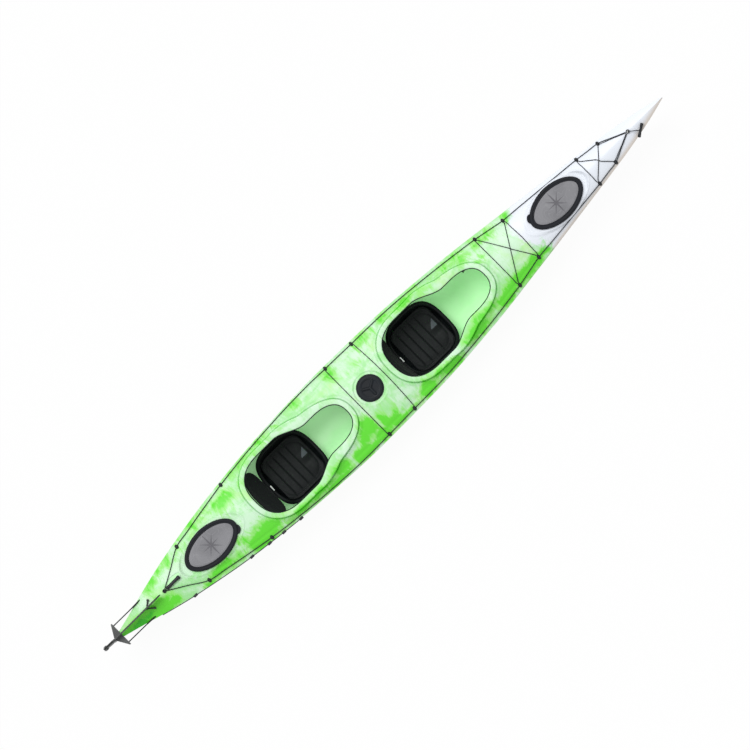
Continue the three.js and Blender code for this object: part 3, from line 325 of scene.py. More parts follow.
def smooth_path(points: Sequence[Sequence[float]], step: float) -> Array:
    """A smooth curve through points, sampled evenly.

    Args:
        points: The points that it passes through.
        step: The distance between samples.

    Returns:
        The samples, one row each.
    """
    p = np.array(points, dtype=float)
    p = np.vstack((2 * p[0] - p[1], p, 2 * p[-1] - p[-2]))
    rows = []
    for i in range(1, len(p) - 2):
        t = np.linspace(0, 1, 24, endpoint=False)[:, None]
        a, b, c, d = p[i - 1], p[i], p[i + 1], p[i + 2]
        spans = [max(np.linalg.norm(q - r), 1e-6) ** 0.5 for q, r in ((b, a), (c, b), (d, c))]
        m1 = spans[1] * ((b - a) / spans[0] - (c - a) / (spans[0] + spans[1]) + (c - b) / spans[1])
        m2 = spans[1] * ((c - b) / spans[1] - (d - b) / (spans[1] + spans[2]) + (d - c) / spans[2])
        from_b, out_b = 2 * t**3 - 3 * t**2 + 1, t**3 - 2 * t**2 + t
        from_c, out_c = 3 * t**2 - 2 * t**3, t**3 - t**2
        rows.append(from_b * b + out_b * m1 + from_c * c + out_c * m2)
    rows.append(p[-2][None, :])
    dense = np.vstack(rows)
    far = np.concatenate(([0], np.cumsum(np.linalg.norm(np.diff(dense, axis=0), axis=1))))
    even = np.linspace(0, far[-1], max(2, int(round(far[-1] / step)) + 1))
    return np.column_stack([np.interp(even, far, dense[:, k]) for k in range(3)])


def path_length(path: Array) -> float:
    """The length of a row of points."""
    return float(np.linalg.norm(np.diff(path, axis=0), axis=1).sum())


def warped_grid(along: int, across: int, shape: Callable[[Array, Array], Array], wrap: bool = False,
                uv: tuple[float, float] | None = None) -> Shape:
    """A grid whose points are moved to a surface.

    Args:
        along: Faces along u.
        across: Faces along v.
        shape: Gives the points, one row each, from u and v between 0 and 1.
        wrap: Whether the two edges in v meet.
        uv: The real size of the surface along u and v, where it needs a map.

    Returns:
        The surface as a bmesh.
    """
    bm = bmesh.new()
    bmesh.ops.create_grid(bm, x_segments=along, y_segments=across, size=0.5)
    flat = np.array([v.co[:2] for v in bm.verts]) + 0.5
    if uv:
        layer = bm.loops.layers.uv.new("surface")
        for face in bm.faces:
            for loop in face.loops:
                loop[layer].uv = ((loop.vert.co.x + 0.5) * uv[0], (loop.vert.co.y + 0.5) * uv[1])
    for vert, co in zip(bm.verts, shape(flat[:, 0], flat[:, 1])):
        vert.co = co
    if wrap:
        bmesh.ops.remove_doubles(bm, verts=bm.verts, dist=1e-6)
    bmesh.ops.recalc_face_normals(bm, faces=bm.faces)
    return bm


def weld(bm: Shape, gap: float = 1e-6) -> None:
    """Joins points closer together than gap, and turns every face outwards."""
    bmesh.ops.remove_doubles(bm, verts=bm.verts, dist=gap)
    bmesh.ops.recalc_face_normals(bm, faces=bm.faces)


def close_ends(bm: Shape) -> None:
    """Fills every open loop of a surface."""
    bmesh.ops.holes_fill(bm, edges=[e for e in bm.edges if e.is_boundary], sides=0)
    bmesh.ops.recalc_face_normals(bm, faces=bm.faces)


def frames_along(path: Array) -> tuple[Array, Array]:
    """Two directions square to a path, turning as little as they can.

    Args:
        path: The points of the path.

    Returns:
        The side and the up direction at each point.
    """
    tangents = np.gradient(path, axis=0)
    tangents /= np.linalg.norm(tangents, axis=1)[:, None]
    start = np.array([0, 0, 1.0]) if abs(tangents[0][2]) < 0.9 else np.array([0, 1.0, 0])
    side = np.cross(start, tangents[0])
    sides = []
    for tangent in tangents:
        side = side - tangent * side.dot(tangent)
        side = side / np.linalg.norm(side)
        sides.append(side)
    sides = np.array(sides)
    return sides, np.cross(tangents, sides)


def swept(path: Array, radius: float | Array, sides: int = 10, flat: float = 1.0) -> Shape:
    """A round or oval section swept along a path, with closed ends.

    Args:
        path: The points of the path.
        radius: The section's radius, or one for each point.
        sides: Points round the section.
        flat: The section's height as a share of its width.

    Returns:
        The closed tube, with a map in metres.
    """
    across, up = frames_along(path)
    radii = np.broadcast_to(np.asarray(radius, dtype=float), (len(path),))

    def shape(u: Array, v: Array) -> Array:
        """The tube's surface."""
        i = np.rint(u * (len(path) - 1)).astype(int)
        angle = 2 * np.pi * v
        out = across[i] * np.cos(angle)[:, None] + flat * up[i] * np.sin(angle)[:, None]
        return path[i] + out * radii[i][:, None]

    girth = float(2 * np.pi * radii.max())
    bm = warped_grid(len(path) - 1, sides, shape, wrap=True, uv=(path_length(path), girth))
    close_ends(bm)
    return bm


def spun(profile: Table, centre: Sequence[float], steps: int = 64) -> Shape:
    """A profile of radius and height spun round an upright axis.

    Args:
        profile: The profile's points.
        centre: A point on the axis, at height 0 of the profile.
        steps: Steps round.

    Returns:
        The spun surface.
    """
    bm = bmesh.new()
    verts = [bm.verts.new((r, 0, z)) for r, z in profile]
    edges = [bm.edges.new(pair) for pair in zip(verts, verts[1:])]
    bmesh.ops.spin(
        bm, geom=[*verts, *edges], axis=(0, 0, 1), cent=(0, 0, 0), angle=2 * math.pi, steps=steps,
        use_merge=True, use_duplicate=False
    )
    weld(bm)
    bmesh.ops.translate(bm, verts=bm.verts, vec=Vector(centre))
    return bm


def turn_to(bm: Shape, axis: Sequence[float], centre: Sequence[float]) -> None:
    """Turns a shape so that its +Z lies along axis, then moves its origin to centre."""
    turn = Vector((0, 0, 1)).rotation_difference(Vector(axis)).to_matrix()
    bmesh.ops.rotate(bm, verts=bm.verts, cent=(0, 0, 0), matrix=turn)
    bmesh.ops.translate(bm, verts=bm.verts, vec=Vector(centre))


def soft_block(size: Sequence[float], centre: Sequence[float], edge: float, segments: int = 3) -> Shape:
    """A block with rounded edges.

    Args:
        size: Its length along X, Y and Z.
        centre: Its middle.
        edge: The radius of its edges.
        segments: Steps round each edge.

    Returns:
        The block.
    """
    bm = bmesh.new()
    bmesh.ops.create_cube(bm, size=1)
    bmesh.ops.scale(bm, vec=Vector(size), verts=bm.verts)
    bmesh.ops.bevel(
        bm, geom=bm.edges[:], offset=edge, segments=segments, profile=0.5, affect="EDGES", material=-1
    )
    bmesh.ops.translate(bm, verts=bm.verts, vec=Vector(centre))
    return bm


def merged(parts: Sequence[Shape]) -> Shape:
    """Puts several shapes into one bmesh.

    Args:
        parts: The shapes, which are freed.

    Returns:
        One bmesh that holds them all.
    """
    whole = bmesh.new()
    for part in parts:
        mesh = bpy.data.meshes.new("part")
        part.to_mesh(mesh)
        part.free()
        whole.from_mesh(mesh)
        bpy.data.meshes.remove(mesh)
    return whole


def publish(bm: Shape, name: str, material: bpy.types.Material, role: Role,
            sharp: float = 38.0) -> bpy.types.Object:
    """Makes an object of a bmesh, dresses it and sets it on its body.

    Args:
        bm: The shape, which is freed.
        name: The piece's name.
        material: Its finish.
        role: Its body, its slot and the solids that it stands for.
        sharp: The angle in degrees past which an edge stays sharp.

    Returns:
        The new object.
    """
    mesh = bpy.data.meshes.new(name)
    bm.to_mesh(mesh)
    bm.free()
    mesh.shade_smooth()
    mesh.set_sharp_from_angle(angle=math.radians(sharp))
    mesh.materials.append(material)
    piece = bpy.data.objects.new(name, mesh)
    bpy.context.scene.collection.objects.link(piece)
    if role.bend:
        other, start, end = role.bend
        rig.blend(piece, role.body, other, start, end)
    else:
        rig.ride(piece, role.body)
    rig.slot(piece, role.slot.value)
    if role.stands_for:
        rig.replaces(piece, *role.stands_for)
    log.info("%s: %d faces", name, len(mesh.polygons))
    return piece


# Finishes


class Wiring:
    """A node tree being wired up."""

    def __init__(self, tree: bpy.types.NodeTree) -> None:
        """Keeps the tree."""
        self.tree = tree

    def node(self, kind: str, inputs: dict | None = None, **settings: object) -> bpy.types.Node:
        """Adds a node.

        Args:
            kind: The node's type.
            inputs: A value, or an output to link, for each named or numbered input.
            **settings: The node's own settings.

        Returns:
            The node.
        """
        made = self.tree.nodes.new(kind)
        for key, value in settings.items():
            setattr(made, key, value)
        for key, value in (inputs or {}).items():
            if isinstance(value, Socket):
                self.tree.links.new(value, made.inputs[key])
            else:
                made.inputs[key].default_value = value
        return made

    def maths(self, operation: str, *values: object) -> Socket:
        """Adds a sum of values and outputs, and returns its result."""
        made = self.node("ShaderNodeMath", dict(enumerate(values)), operation=operation)
        return made.outputs[0]

    def between(self, value: object, low: float, high: float, to: tuple[float, float] = (0, 1)) -> Socket:
        """Maps a value smoothly from low..high to a range."""
        inputs = {0: value, 1: low, 2: high, 3: to[0], 4: to[1]}
        return self.node("ShaderNodeMapRange", inputs, interpolation_type="SMOOTHSTEP").outputs[0]

    def mix(self, share: object, first: object, second: object) -> Socket:
        """Mixes two colours by a share."""
        return self.node("ShaderNodeMix", {0: share, 6: first, 7: second}, data_type="RGBA").outputs[2]

    def noise(
        self, where: object, scale: float, detail: float = 4, rough: float = 0.55, warp: float = 0.0
    ) -> Socket:
        """Adds a noise pattern and returns its value."""
        inputs = {"Vector": where, "Scale": scale, "Detail": detail, "Roughness": rough, "Distortion": warp}
        return self.node("ShaderNodeTexNoise", inputs).outputs[0]

    def place(self, kind: str, scale: Sequence[float] = (1, 1, 1)) -> Socket:
        """The Object or UV coordinates, stretched.

        Args:
            kind: Object or UV.
            scale: The stretch along each axis.

        Returns:
            The coordinates.
        """
        source = self.node("ShaderNodeTexCoord").outputs[kind]
        return self.node("ShaderNodeMapping", {"Vector": source, "Scale": scale}).outputs[0]

    def effect(self, tree: bpy.types.NodeTree, inputs: dict) -> bpy.types.bpy_prop_collection:
        """Adds one of the shared effects and returns its outputs."""
        return self.node("ShaderNodeGroup", inputs, node_tree=tree).outputs

    def seen(self) -> Socket:
        """1 where a ray shows a thing to the camera, straight, mirrored or through glass."""
        path = self.node("ShaderNodeLightPath").outputs
        either = self.maths("MAXIMUM", path["Is Camera Ray"], path["Is Glossy Ray"])
        return self.maths("MAXIMUM", either, path["Is Transmission Ray"])

    def surface(self, shader: bpy.types.Node, colour: object, rough: object, height: object,
                strength: float, depth: float) -> None:
        """Links a shader's colour, roughness and bump.

        Args:
            shader: The shader.
            colour: Its colour.
            rough: Its roughness.
            height: The bump's pattern.
            strength: The bump's strength.
            depth: The bump's depth in metres.
        """
        bump = self.node("ShaderNodeBump", {"Height": height, "Strength": strength, "Distance": depth})
        for key, value in (("Base Color", colour), ("Roughness", rough), ("Normal", bump.outputs[0])):
            self.tree.links.new(value, shader.inputs[key])


class Effects:
    """Effects that several finishes share, each one node group."""

    groups: dict[str, bpy.types.NodeTree] = {}

    @classmethod
    def _group(cls, name: str, inputs: dict[str, float], outputs: Sequence[str]) -> tuple:
        """Starts a group with a vector input and the given value sockets.

        Args:
            name: The group's name.
            inputs: The value sockets, each with its usual value.
            outputs: The names of its outputs.

        Returns:
            Its wiring, the sockets that bring its inputs in and those that take its outputs.
        """
        tree = bpy.data.node_groups.new(name, "ShaderNodeTree")
        tree.interface.new_socket("Vector", in_out="INPUT", socket_type="NodeSocketVector")
        for key, value in inputs.items():
            socket = tree.interface.new_socket(key, in_out="INPUT", socket_type="NodeSocketFloat")
            socket.default_value = value
        for key in outputs:
            tree.interface.new_socket(key, in_out="OUTPUT", socket_type="NodeSocketFloat")
        cls.groups[name] = tree
        into = tree.nodes.new("NodeGroupInput").outputs
        return Wiring(tree), into, tree.nodes.new("NodeGroupOutput").inputs

    @classmethod
    def grain(cls) -> bpy.types.NodeTree:
        """The fine pebble of moulded plastic, with broad soft variation and faint scratches."""
        if "moulded grain" not in cls.groups:
            inputs = {"Scale": 900.0, "Scratch": 0.3}
            w, into, out = cls._group("moulded grain", inputs, ("Height", "Shade", "Scratches"))
            fine = w.node("ShaderNodeTexVoronoi", {"Vector": into[0], "Scale": into[1]}).outputs[0]
            broad = w.noise(into[0], 7.0, 5)
            stretched = {"Vector": into[0], "Scale": (6, 90, 60), "Rotation": (0.2, 0.1, 0.3)}
            long_way = w.node("ShaderNodeMapping", stretched).outputs[0]
            streak = w.between(w.noise(long_way, 3.0, 3, 0.6), 0.66, 0.72)
            faint = w.maths("MULTIPLY", w.maths("MULTIPLY", streak, into[2]), w.between(broad, 0.45, 0.6))
            height = w.maths("SUBTRACT", fine, w.maths("MULTIPLY", faint, 0.8))
            for socket, value in zip(out, (height, broad, faint)):
                w.tree.links.new(value, socket)
        return cls.groups["moulded grain"]

    @classmethod
    def weave(cls) -> bpy.types.NodeTree:
        """Diagonal braid, or plain weave when turned, on a map in metres."""
        if "weave" not in cls.groups:
            w, into, out = cls._group("weave", {"Threads": 700.0}, ("Height", "Shade"))
            x, y, _ = w.node("ShaderNodeSeparateXYZ", {0: into[0]}).outputs
            a = w.maths("MULTIPLY", w.maths("ADD", x, y), into[1])
            b = w.maths("MULTIPLY", w.maths("SUBTRACT", x, y), into[1])
            over = w.maths("ABSOLUTE", w.maths("SINE", a))
            under = w.maths("ABSOLUTE", w.maths("SINE", b))
            height = w.maths("MAXIMUM", over, under)
            patches = w.maths("MULTIPLY", w.noise(into[0], 40.0, 3), 0.5)
            shade = w.maths("ADD", w.maths("MULTIPLY", height, 0.5), patches)
            for socket, value in zip(out, (height, shade)):
                w.tree.links.new(value, socket)
        return cls.groups["weave"]


@dataclass(frozen=True)
class Plastic:
    """Moulded plastic or rubber: one colour, with grain, soft variation and scuffs.

    Args:
        name: The material's name.
        dark: The darker end of its broad, random variation in tone.
        light: The lighter end of that variation.
        roughness: Its middle roughness.
        spread: How far the roughness varies.
        specular: The shader's specular level.
        grain: Grains in a metre.
        depth: The bump's depth in metres.
        scratch: How strong the scratches are.
    """

    name: str
    dark: str
    light: str
    roughness: float = 0.5
    spread: float = 0.12
    specular: float = 0.35
    grain: float = 900.0
    depth: float = 0.0002
    scratch: float = 0.3

    def build(self) -> bpy.types.Material:
        """Wires the material."""
        material, w, shader = blank(self.name, self.specular)
        inputs = {"Vector": w.place("Object"), "Scale": self.grain, "Scratch": self.scratch}
        grain = w.effect(Effects.grain(), inputs)
        tone = w.mix(w.between(grain["Shade"], 0.35, 0.68), srgb(self.dark), srgb(self.light))
        worn = w.mix(w.maths("MULTIPLY", grain["Scratches"], 0.5), tone, srgb("9a9c9e"))
        low, high = self.roughness - self.spread, self.roughness + self.spread
        rough = w.between(grain["Shade"], 0.3, 0.7, (low, high))
        w.surface(shader, worn, rough, grain["Height"], 0.35, self.depth)
        return material


@dataclass(frozen=True)
class Woven:
    """Braided cord, webbing or a padded cover, on the piece's own map.

    Args:
        name: The material's name.
        dark: The colour between threads.
        light: The colour on top of threads.
        threads: Thread turns in a metre.
        roughness: Its roughness.
        sheen: The shader's sheen weight.
        depth: The bump's depth in metres.
    """

    name: str
    dark: str
    light: str
    threads: float = 900.0
    roughness: float = 0.75
    sheen: float = 0.15
    depth: float = 0.0003

    def build(self) -> bpy.types.Material:
        """Wires the material."""
        material, w, shader = blank(self.name, 0.25)
        weave = w.effect(Effects.weave(), {"Vector": w.place("UV"), "Threads": self.threads})
        tone = w.mix(weave["Shade"], srgb(self.dark), srgb(self.light))
        low, high = self.roughness - 0.08, self.roughness + 0.08
        rough = w.between(weave["Shade"], 0.2, 0.9, (high, low))
        w.surface(shader, tone, rough, weave["Height"], 0.5, self.depth)
        shader.inputs["Sheen Weight"].default_value = self.sheen
        return material


@dataclass(frozen=True)
class Steel:
    """Satin stainless steel, brushed along its length."""

    name: str = "satin_steel"

    def build(self) -> bpy.types.Material:
        """Wires the material."""
        material, w, shader = blank(self.name, 0.5)
        shader.inputs["Metallic"].default_value = 1.0
        brushed = w.noise(w.place("Object", (40, 900, 40)), 3.0, 3)
        tone = w.mix(brushed, srgb("8f9296"), srgb("c3c6c9"))
        w.surface(shader, tone, w.between(brushed, 0.3, 0.7, (0.24, 0.42)), brushed, 0.2, 0.0001)
        return material


@dataclass(frozen=True)
class Foam:
    """Closed-cell foam: open pores in a matte face."""

    name: str = "cell_foam"

    def build(self) -> bpy.types.Material:
        """Wires the material."""
        material, w, shader = blank(self.name, 0.2)
        cells = w.node("ShaderNodeTexVoronoi", {"Vector": w.place("Object"), "Scale": 260.0}).outputs[0]
        tone = w.mix(w.between(cells, 0.1, 0.6), srgb("34373a"), srgb("55595d"))
        w.surface(shader, tone, w.between(cells, 0.0, 0.6, (0.95, 0.8)), cells, 0.6, 0.0008)
        return material


@dataclass(frozen=True)
class MarbledShell:
    """The hull's marbled plastic: mint and white clouds, bright green splashes, a white bow.

    The splash and snow attributes of the skin say where the green and the white lie; a third attribute says where
    painted shade darkens the sides below the gunwale: tan under the white bow, darker green elsewhere.
    """

    name: str = "marbled_shell"
    pale: str = "cdefcf"
    mint: str = "a3e69a"
    lime: str = "b4ec8c"
    light: str = "95e676"
    bright: str = "62dd33"
    deep: str = "38c422"
    white: str = "e8edf5"
    # Painted shade on the sides below the gunwale: tan under the white bow, darker green under the green.
    flank_white: str = "cdbfae"
    flank_green: str = "7db463"

    def build(self) -> bpy.types.Material:
        """Wires the material."""
        material, w, shader = blank(self.name, 0.4)
        strokes = w.noise(w.place("Object", (1.25, 0.5, 0.6)), 8.5, 6, 0.66, 1.3)
        flecks = w.noise(w.place("Object", (1.0, 0.42, 0.5)), 27.0, 5, 0.62, 0.8)
        clouds = w.noise(w.place("Object", (0.8, 1.0, 1.0)), 4.6, 5, 0.6, 0.9)
        drift = w.noise(w.place("Object", (1.0, 0.7, 0.7)), 6.1, 4, 0.6, 0.6)
        splash, snow, flank = (
            w.node("ShaderNodeAttribute", attribute_name=name).outputs["Fac"]
            for name in ("splash", "snow", "flank")
        )

        def stirred(pattern: object, share: float, value: object) -> Socket:
            """A value with a share of a pattern added."""
            return w.maths("MULTIPLY_ADD", w.maths("SUBTRACT", pattern, 0.5), share, value)

        torn = stirred(flecks, 0.8, stirred(strokes, 2.1, splash))
        cloudy = stirred(flecks, 0.5, clouds)
        base = w.mix(w.between(cloudy, 0.36, 0.62), srgb(self.mint), srgb(self.pale))
        base = w.mix(w.maths("MULTIPLY", w.between(drift, 0.5, 0.72), 0.7), base, srgb(self.lime))
        soft = w.mix(w.between(torn, 0.1, 0.48), base, srgb(self.light))
        strong = w.mix(w.between(torn, 0.44, 0.78), soft, srgb(self.bright))
        tone = w.mix(w.between(torn, 1.5, 2.1), strong, srgb(self.deep))
        edge = stirred(clouds, 1.5, stirred(strokes, 1.5, snow))
        tone = w.mix(w.between(edge, 0.34, 0.7), tone, srgb(self.white))
        # Painted shade on the sides below the gunwale: tan where the bow is white, darker green elsewhere.
        below = w.mix(w.between(edge, 0.3, 0.7), srgb(self.flank_green), srgb(self.flank_white))
        tone = w.mix(w.maths("MULTIPLY", flank, 0.75), tone, below)
        inputs = {"Vector": w.place("Object"), "Scale": 700.0, "Scratch": 0.5}
        grain = w.effect(Effects.grain(), inputs)
        scuffed = w.mix(w.maths("MULTIPLY", grain["Scratches"], 0.18), tone, srgb("f4f8f2"))
        rough = w.between(grain["Shade"], 0.3, 0.7, (0.34, 0.5))
        w.surface(shader, scuffed, rough, grain["Height"], 0.15, 0.0002)
        return material


@dataclass(frozen=True)
class InnerShell:
    """The hull's inner face: plain pale green with soft mould flow, and a painted glow of light in its own colour."""

    name: str = "inner_shell"
    light: str = "c4f4c0"
    shade: str = "aee9aa"
    # How strongly the inner face glows: painted light.
    glow: float = 0.24

    def build(self) -> bpy.types.Material:
        """Wires the material."""
        material, w, shader = blank(self.name, 0.3)
        flow = w.noise(w.place("Object", (0.5, 1, 1)), 3.0, 4, 0.5, 0.4)
        pores = w.noise(w.place("Object"), 420.0, 2)
        tone = w.mix(w.between(flow, 0.35, 0.65), srgb(self.shade), srgb(self.light))
        w.surface(shader, tone, w.between(flow, 0.3, 0.7, (0.5, 0.66)), pores, 0.3, 0.0003)
        # Painted light: the inner face glows in its own colour, though it is no lamp, to light the cockpits' insides.
        w.tree.links.new(tone, shader.inputs["Emission Color"])
        shader.inputs["Emission Strength"].default_value = self.glow
        return material


@dataclass(frozen=True)
class HatchGrey:
    """The hatches' grey panels: satin, with faint moulded contour lines."""

    name: str = "hatch_grey"

    def build(self) -> bpy.types.Material:
        """Wires the material."""
        material, w, shader = blank(self.name, 0.35)
        hills = w.noise(w.place("Object", (1, 1, 0)), 7.0, 2, 0.4, 0.3)
        bands = w.maths("FRACT", w.maths("MULTIPLY", hills, 16.0))
        away = w.maths("ABSOLUTE", w.maths("SUBTRACT", bands, 0.5))
        line = w.maths("SUBTRACT", 1.0, w.between(away, 0.03, 0.1))
        pebble = w.noise(w.place("Object"), 500.0, 2)
        tone = w.mix(w.between(hills, 0.3, 0.7), srgb("77777b"), srgb("858589"))
        lined = w.mix(w.maths("MULTIPLY", line, 0.35), tone, srgb("949498"))
        height = w.maths("MULTIPLY_ADD", line, 2.0, pebble)
        w.surface(shader, lined, w.between(pebble, 0.3, 0.7, (0.5, 0.66)), height, 0.3, 0.0004)
        return material


def blank(name: str, specular: float) -> tuple[bpy.types.Material, Wiring, bpy.types.Node]:
    """A new material with its plain shader.

    Args:
        name: The material's name.
        specular: The shader's specular level.

    Returns:
        The material, its wiring and its shader.
    """
    material = bpy.data.materials.new(name)
    material.use_nodes = True
    w = Wiring(material.node_tree)
    w.tree.nodes.clear()
    shader = w.node("ShaderNodeBsdfPrincipled", {"Specular IOR Level": specular})
    w.node("ShaderNodeOutputMaterial", {"Surface": shader.outputs[0]})
    return material, w, shader


class Finishes:
    """Every finish on the boat, built once."""

    def __init__(self) -> None:
        """Builds the materials."""
        self.shell = MarbledShell().build()
        self.lining = InnerShell().build()
        self.foam = Foam().build()
        self.steel = Steel().build()
        self.panel = HatchGrey().build()
        self.seat = Plastic("seat_plastic_black", "05080a", "0d1214", 0.55, 0.1, 0.14).build()
        self.black = Plastic("satin_black_plastic", "111316", "1c1f23", 0.45, 0.1, 0.3).build()
        self.rudder = Plastic("rudder_plastic", "353736", "565857", 0.5, 0.1, 0.4, scratch=0.8).build()
        self.rubber = Plastic(
            "hatch_rubber_black", "13151a", "1e2026", 0.62, 0.1, 0.18, 1400.0, 0.0001, 0.1
        ).build()
        self.lid = Plastic("lid_plastic", "101418", "1a1f25", 0.5, 0.1, 0.18).build()
        self.star = Plastic("star_grey", "5e5d62", "6a696e", 0.55, 0.1, 0.3).build()
        self.pale = Plastic("pale_plastic", "c9ccca", "e2e4e2", 0.5, 0.1, 0.4).build()
        self.cover = Woven("pad_cover", "030506", "0e1315", 1500.0, 0.7, 0.05).build()
        # Painted highlight: a lighter grey cloth that stands for the lit face of the pommel.
        self.facet = Woven("pommel_panel", "343a3f", "50575d", 1500.0, 0.55, 0.15).build()
        self.cord = Woven("braided_cord", "0b0e10", "23282c", 1400.0, 0.75, 0.05).build()
        self.webbing = Woven("webbing", "07090a", "14181a", 1800.0, 0.7, 0.05).build()


# The hull's lines


@dataclass
class HullLines:
    """The hull's lines: shares of the length from the stern, and of the size that each one follows."""

    stern: float = -2.668
    length: float = 5.502
    half_beam_max: float = 0.3545
    height: float = 0.44
    half_beam: Table = (
        (0, 0.07), (0.026, 0.175), (0.062, 0.33), (0.114, 0.52), (0.207, 0.765), (0.312, 0.929),
        (0.417, 1), (0.522, 0.98), (0.628, 0.867), (0.733, 0.673), (0.838, 0.459), (0.917, 0.29),
        (0.97, 0.135), (1, 0.016)
    )
    sheer: Table = (
        (0, 0.8), (0.1, 0.7), (0.25, 0.6), (0.45, 0.56), (0.6, 0.57), (0.75, 0.63), (0.9, 0.8), (1, 0.98)
    )
    keel: Table = (
        (0, 0.3), (0.02, 0.13), (0.06, 0.045), (0.14, 0.008), (0.22, 0), (0.74, 0), (0.82, 0.01),
        (0.9, 0.07), (0.95, 0.19), (0.985, 0.5), (1, 0.9)
    )
    crown: Table = (
        (0, 0.025), (0.1, 0.115), (0.25, 0.17), (0.5, 0.18), (0.75, 0.17), (0.9, 0.1), (1, 0.015)
    )
    keel_flat: Table = (
        (0, 0.02), (0.1, 0.05), (0.25, 0.2), (0.45, 0.32), (0.6, 0.3), (0.75, 0.16), (0.9, 0.04),
        (1, 0.004)
    )
    bilge: Table = ((0, 1.25), (0.1, 1.7), (0.3, 2.5), (0.6, 2.6), (0.85, 1.7), (1, 1.2))
    deck: Table = ((0, 1.35), (0.1, 1.6), (0.3, 2.2), (0.7, 2.2), (0.9, 1.6), (1, 1.3))
    bottom: float = 0.3
    flat_part: float = 0.22

    def __post_init__(self) -> None:
        """Makes the curves through the tables."""
        names = ("half_beam", "sheer", "keel", "crown", "keel_flat", "bilge", "deck")
        self.curves = {name: through(getattr(self, name)) for name in names}

    def share(self, x: Array) -> Array:
        """The share of the length at x."""
        return (np.asarray(x, dtype=float) - self.stern) / self.length

    def x_at(self, share: float) -> float:
        """The place of a share of the length."""
        return self.stern + share * self.length

    def half(self, x: Array) -> Array:
        """Half the beam at x."""
        return self.half_beam_max * self.curves["half_beam"](self.share(x))

    def sheer_z(self, x: Array) -> Array:
        """The height of the gunwale at x."""
        return self.height * self.curves["sheer"](self.share(x))

    def deck_z(self, x: Array, y: Array) -> Array:
        """The height of the deck's outer face at x, y."""
        s = self.share(x)
        out = np.minimum(1, np.abs(y) / self.half(x))
        return self.height * (
            self.curves["sheer"](s) + self.curves["crown"](s) * (1 - out ** self.curves["deck"](s))
        )

    def on_deck(self, x: float, y: float, lift: float = 0.0) -> list[float]:
        """A point over the deck."""
        return [float(x), float(y), float(self.deck_z(x, y)) + lift]

    def normal(self, x: float, y: float) -> Vector:
        """The deck's upward direction at x, y."""
        d = 0.004
        slope_x = (self.deck_z(x + d, y) - self.deck_z(x - d, y)) / (2 * d)
        slope_y = (self.deck_z(x, y + d) - self.deck_z(x, y - d)) / (2 * d)
        return Vector((-float(slope_x), -float(slope_y), 1)).normalized()

    def side_y(self, x: float, z: float) -> float:
        """How far out the hull's side stands at a height below the gunwale."""
        v = np.linspace(0, self.bottom / 2, 400)
        skin = self.section(np.full(400, x), v)
        return float(np.interp(z, skin[::-1, 2], skin[::-1, 1]))

    def section(self, x: Array, v: Array, inset: float = 0.0) -> Array:
        """Points on the hull's skin.

        Args:
            x: Places along the boat.
            v: Places round the section: port gunwale, keel, starboard gunwale, deck and back.
            inset: How far inside the skin.

        Returns:
            The points, one row each.
        """
        s = self.share(x)
        c = {name: curve(s) for name, curve in self.curves.items()}
        half = self.half_beam_max * c["half_beam"] - inset
        flat = np.minimum(half, self.half_beam_max * c["keel_flat"])
        keel = self.height * c["keel"] + inset
        sheer = self.height * c["sheer"] - inset
        w = np.clip(v / self.bottom, 0, 1) * 2 - 1
        angle = np.clip((np.abs(w) - self.flat_part) / (1 - self.flat_part), 0, 1) * np.pi / 2
        power = 2 / c["bilge"]
        under_y = np.where(
            np.abs(w) < self.flat_part, flat * np.abs(w) / self.flat_part,
            flat + (half - flat) * np.sin(angle) ** power
        )
        under_z = sheer - (sheer - keel) * np.cos(angle) ** power
        d = np.clip((v - self.bottom) / (1 - self.bottom), 0, 1) * 2 - 1
        deck_y = half * d
        deck_z = sheer + self.height * c["crown"] * (1 - np.abs(d) ** c["deck"])
        below = v <= self.bottom
        y = np.where(below, -np.sign(w) * under_y, deck_y)
        return np.column_stack((x, y, np.where(below, under_z, deck_z)))


LINES = HullLines()


# Openings in the deck


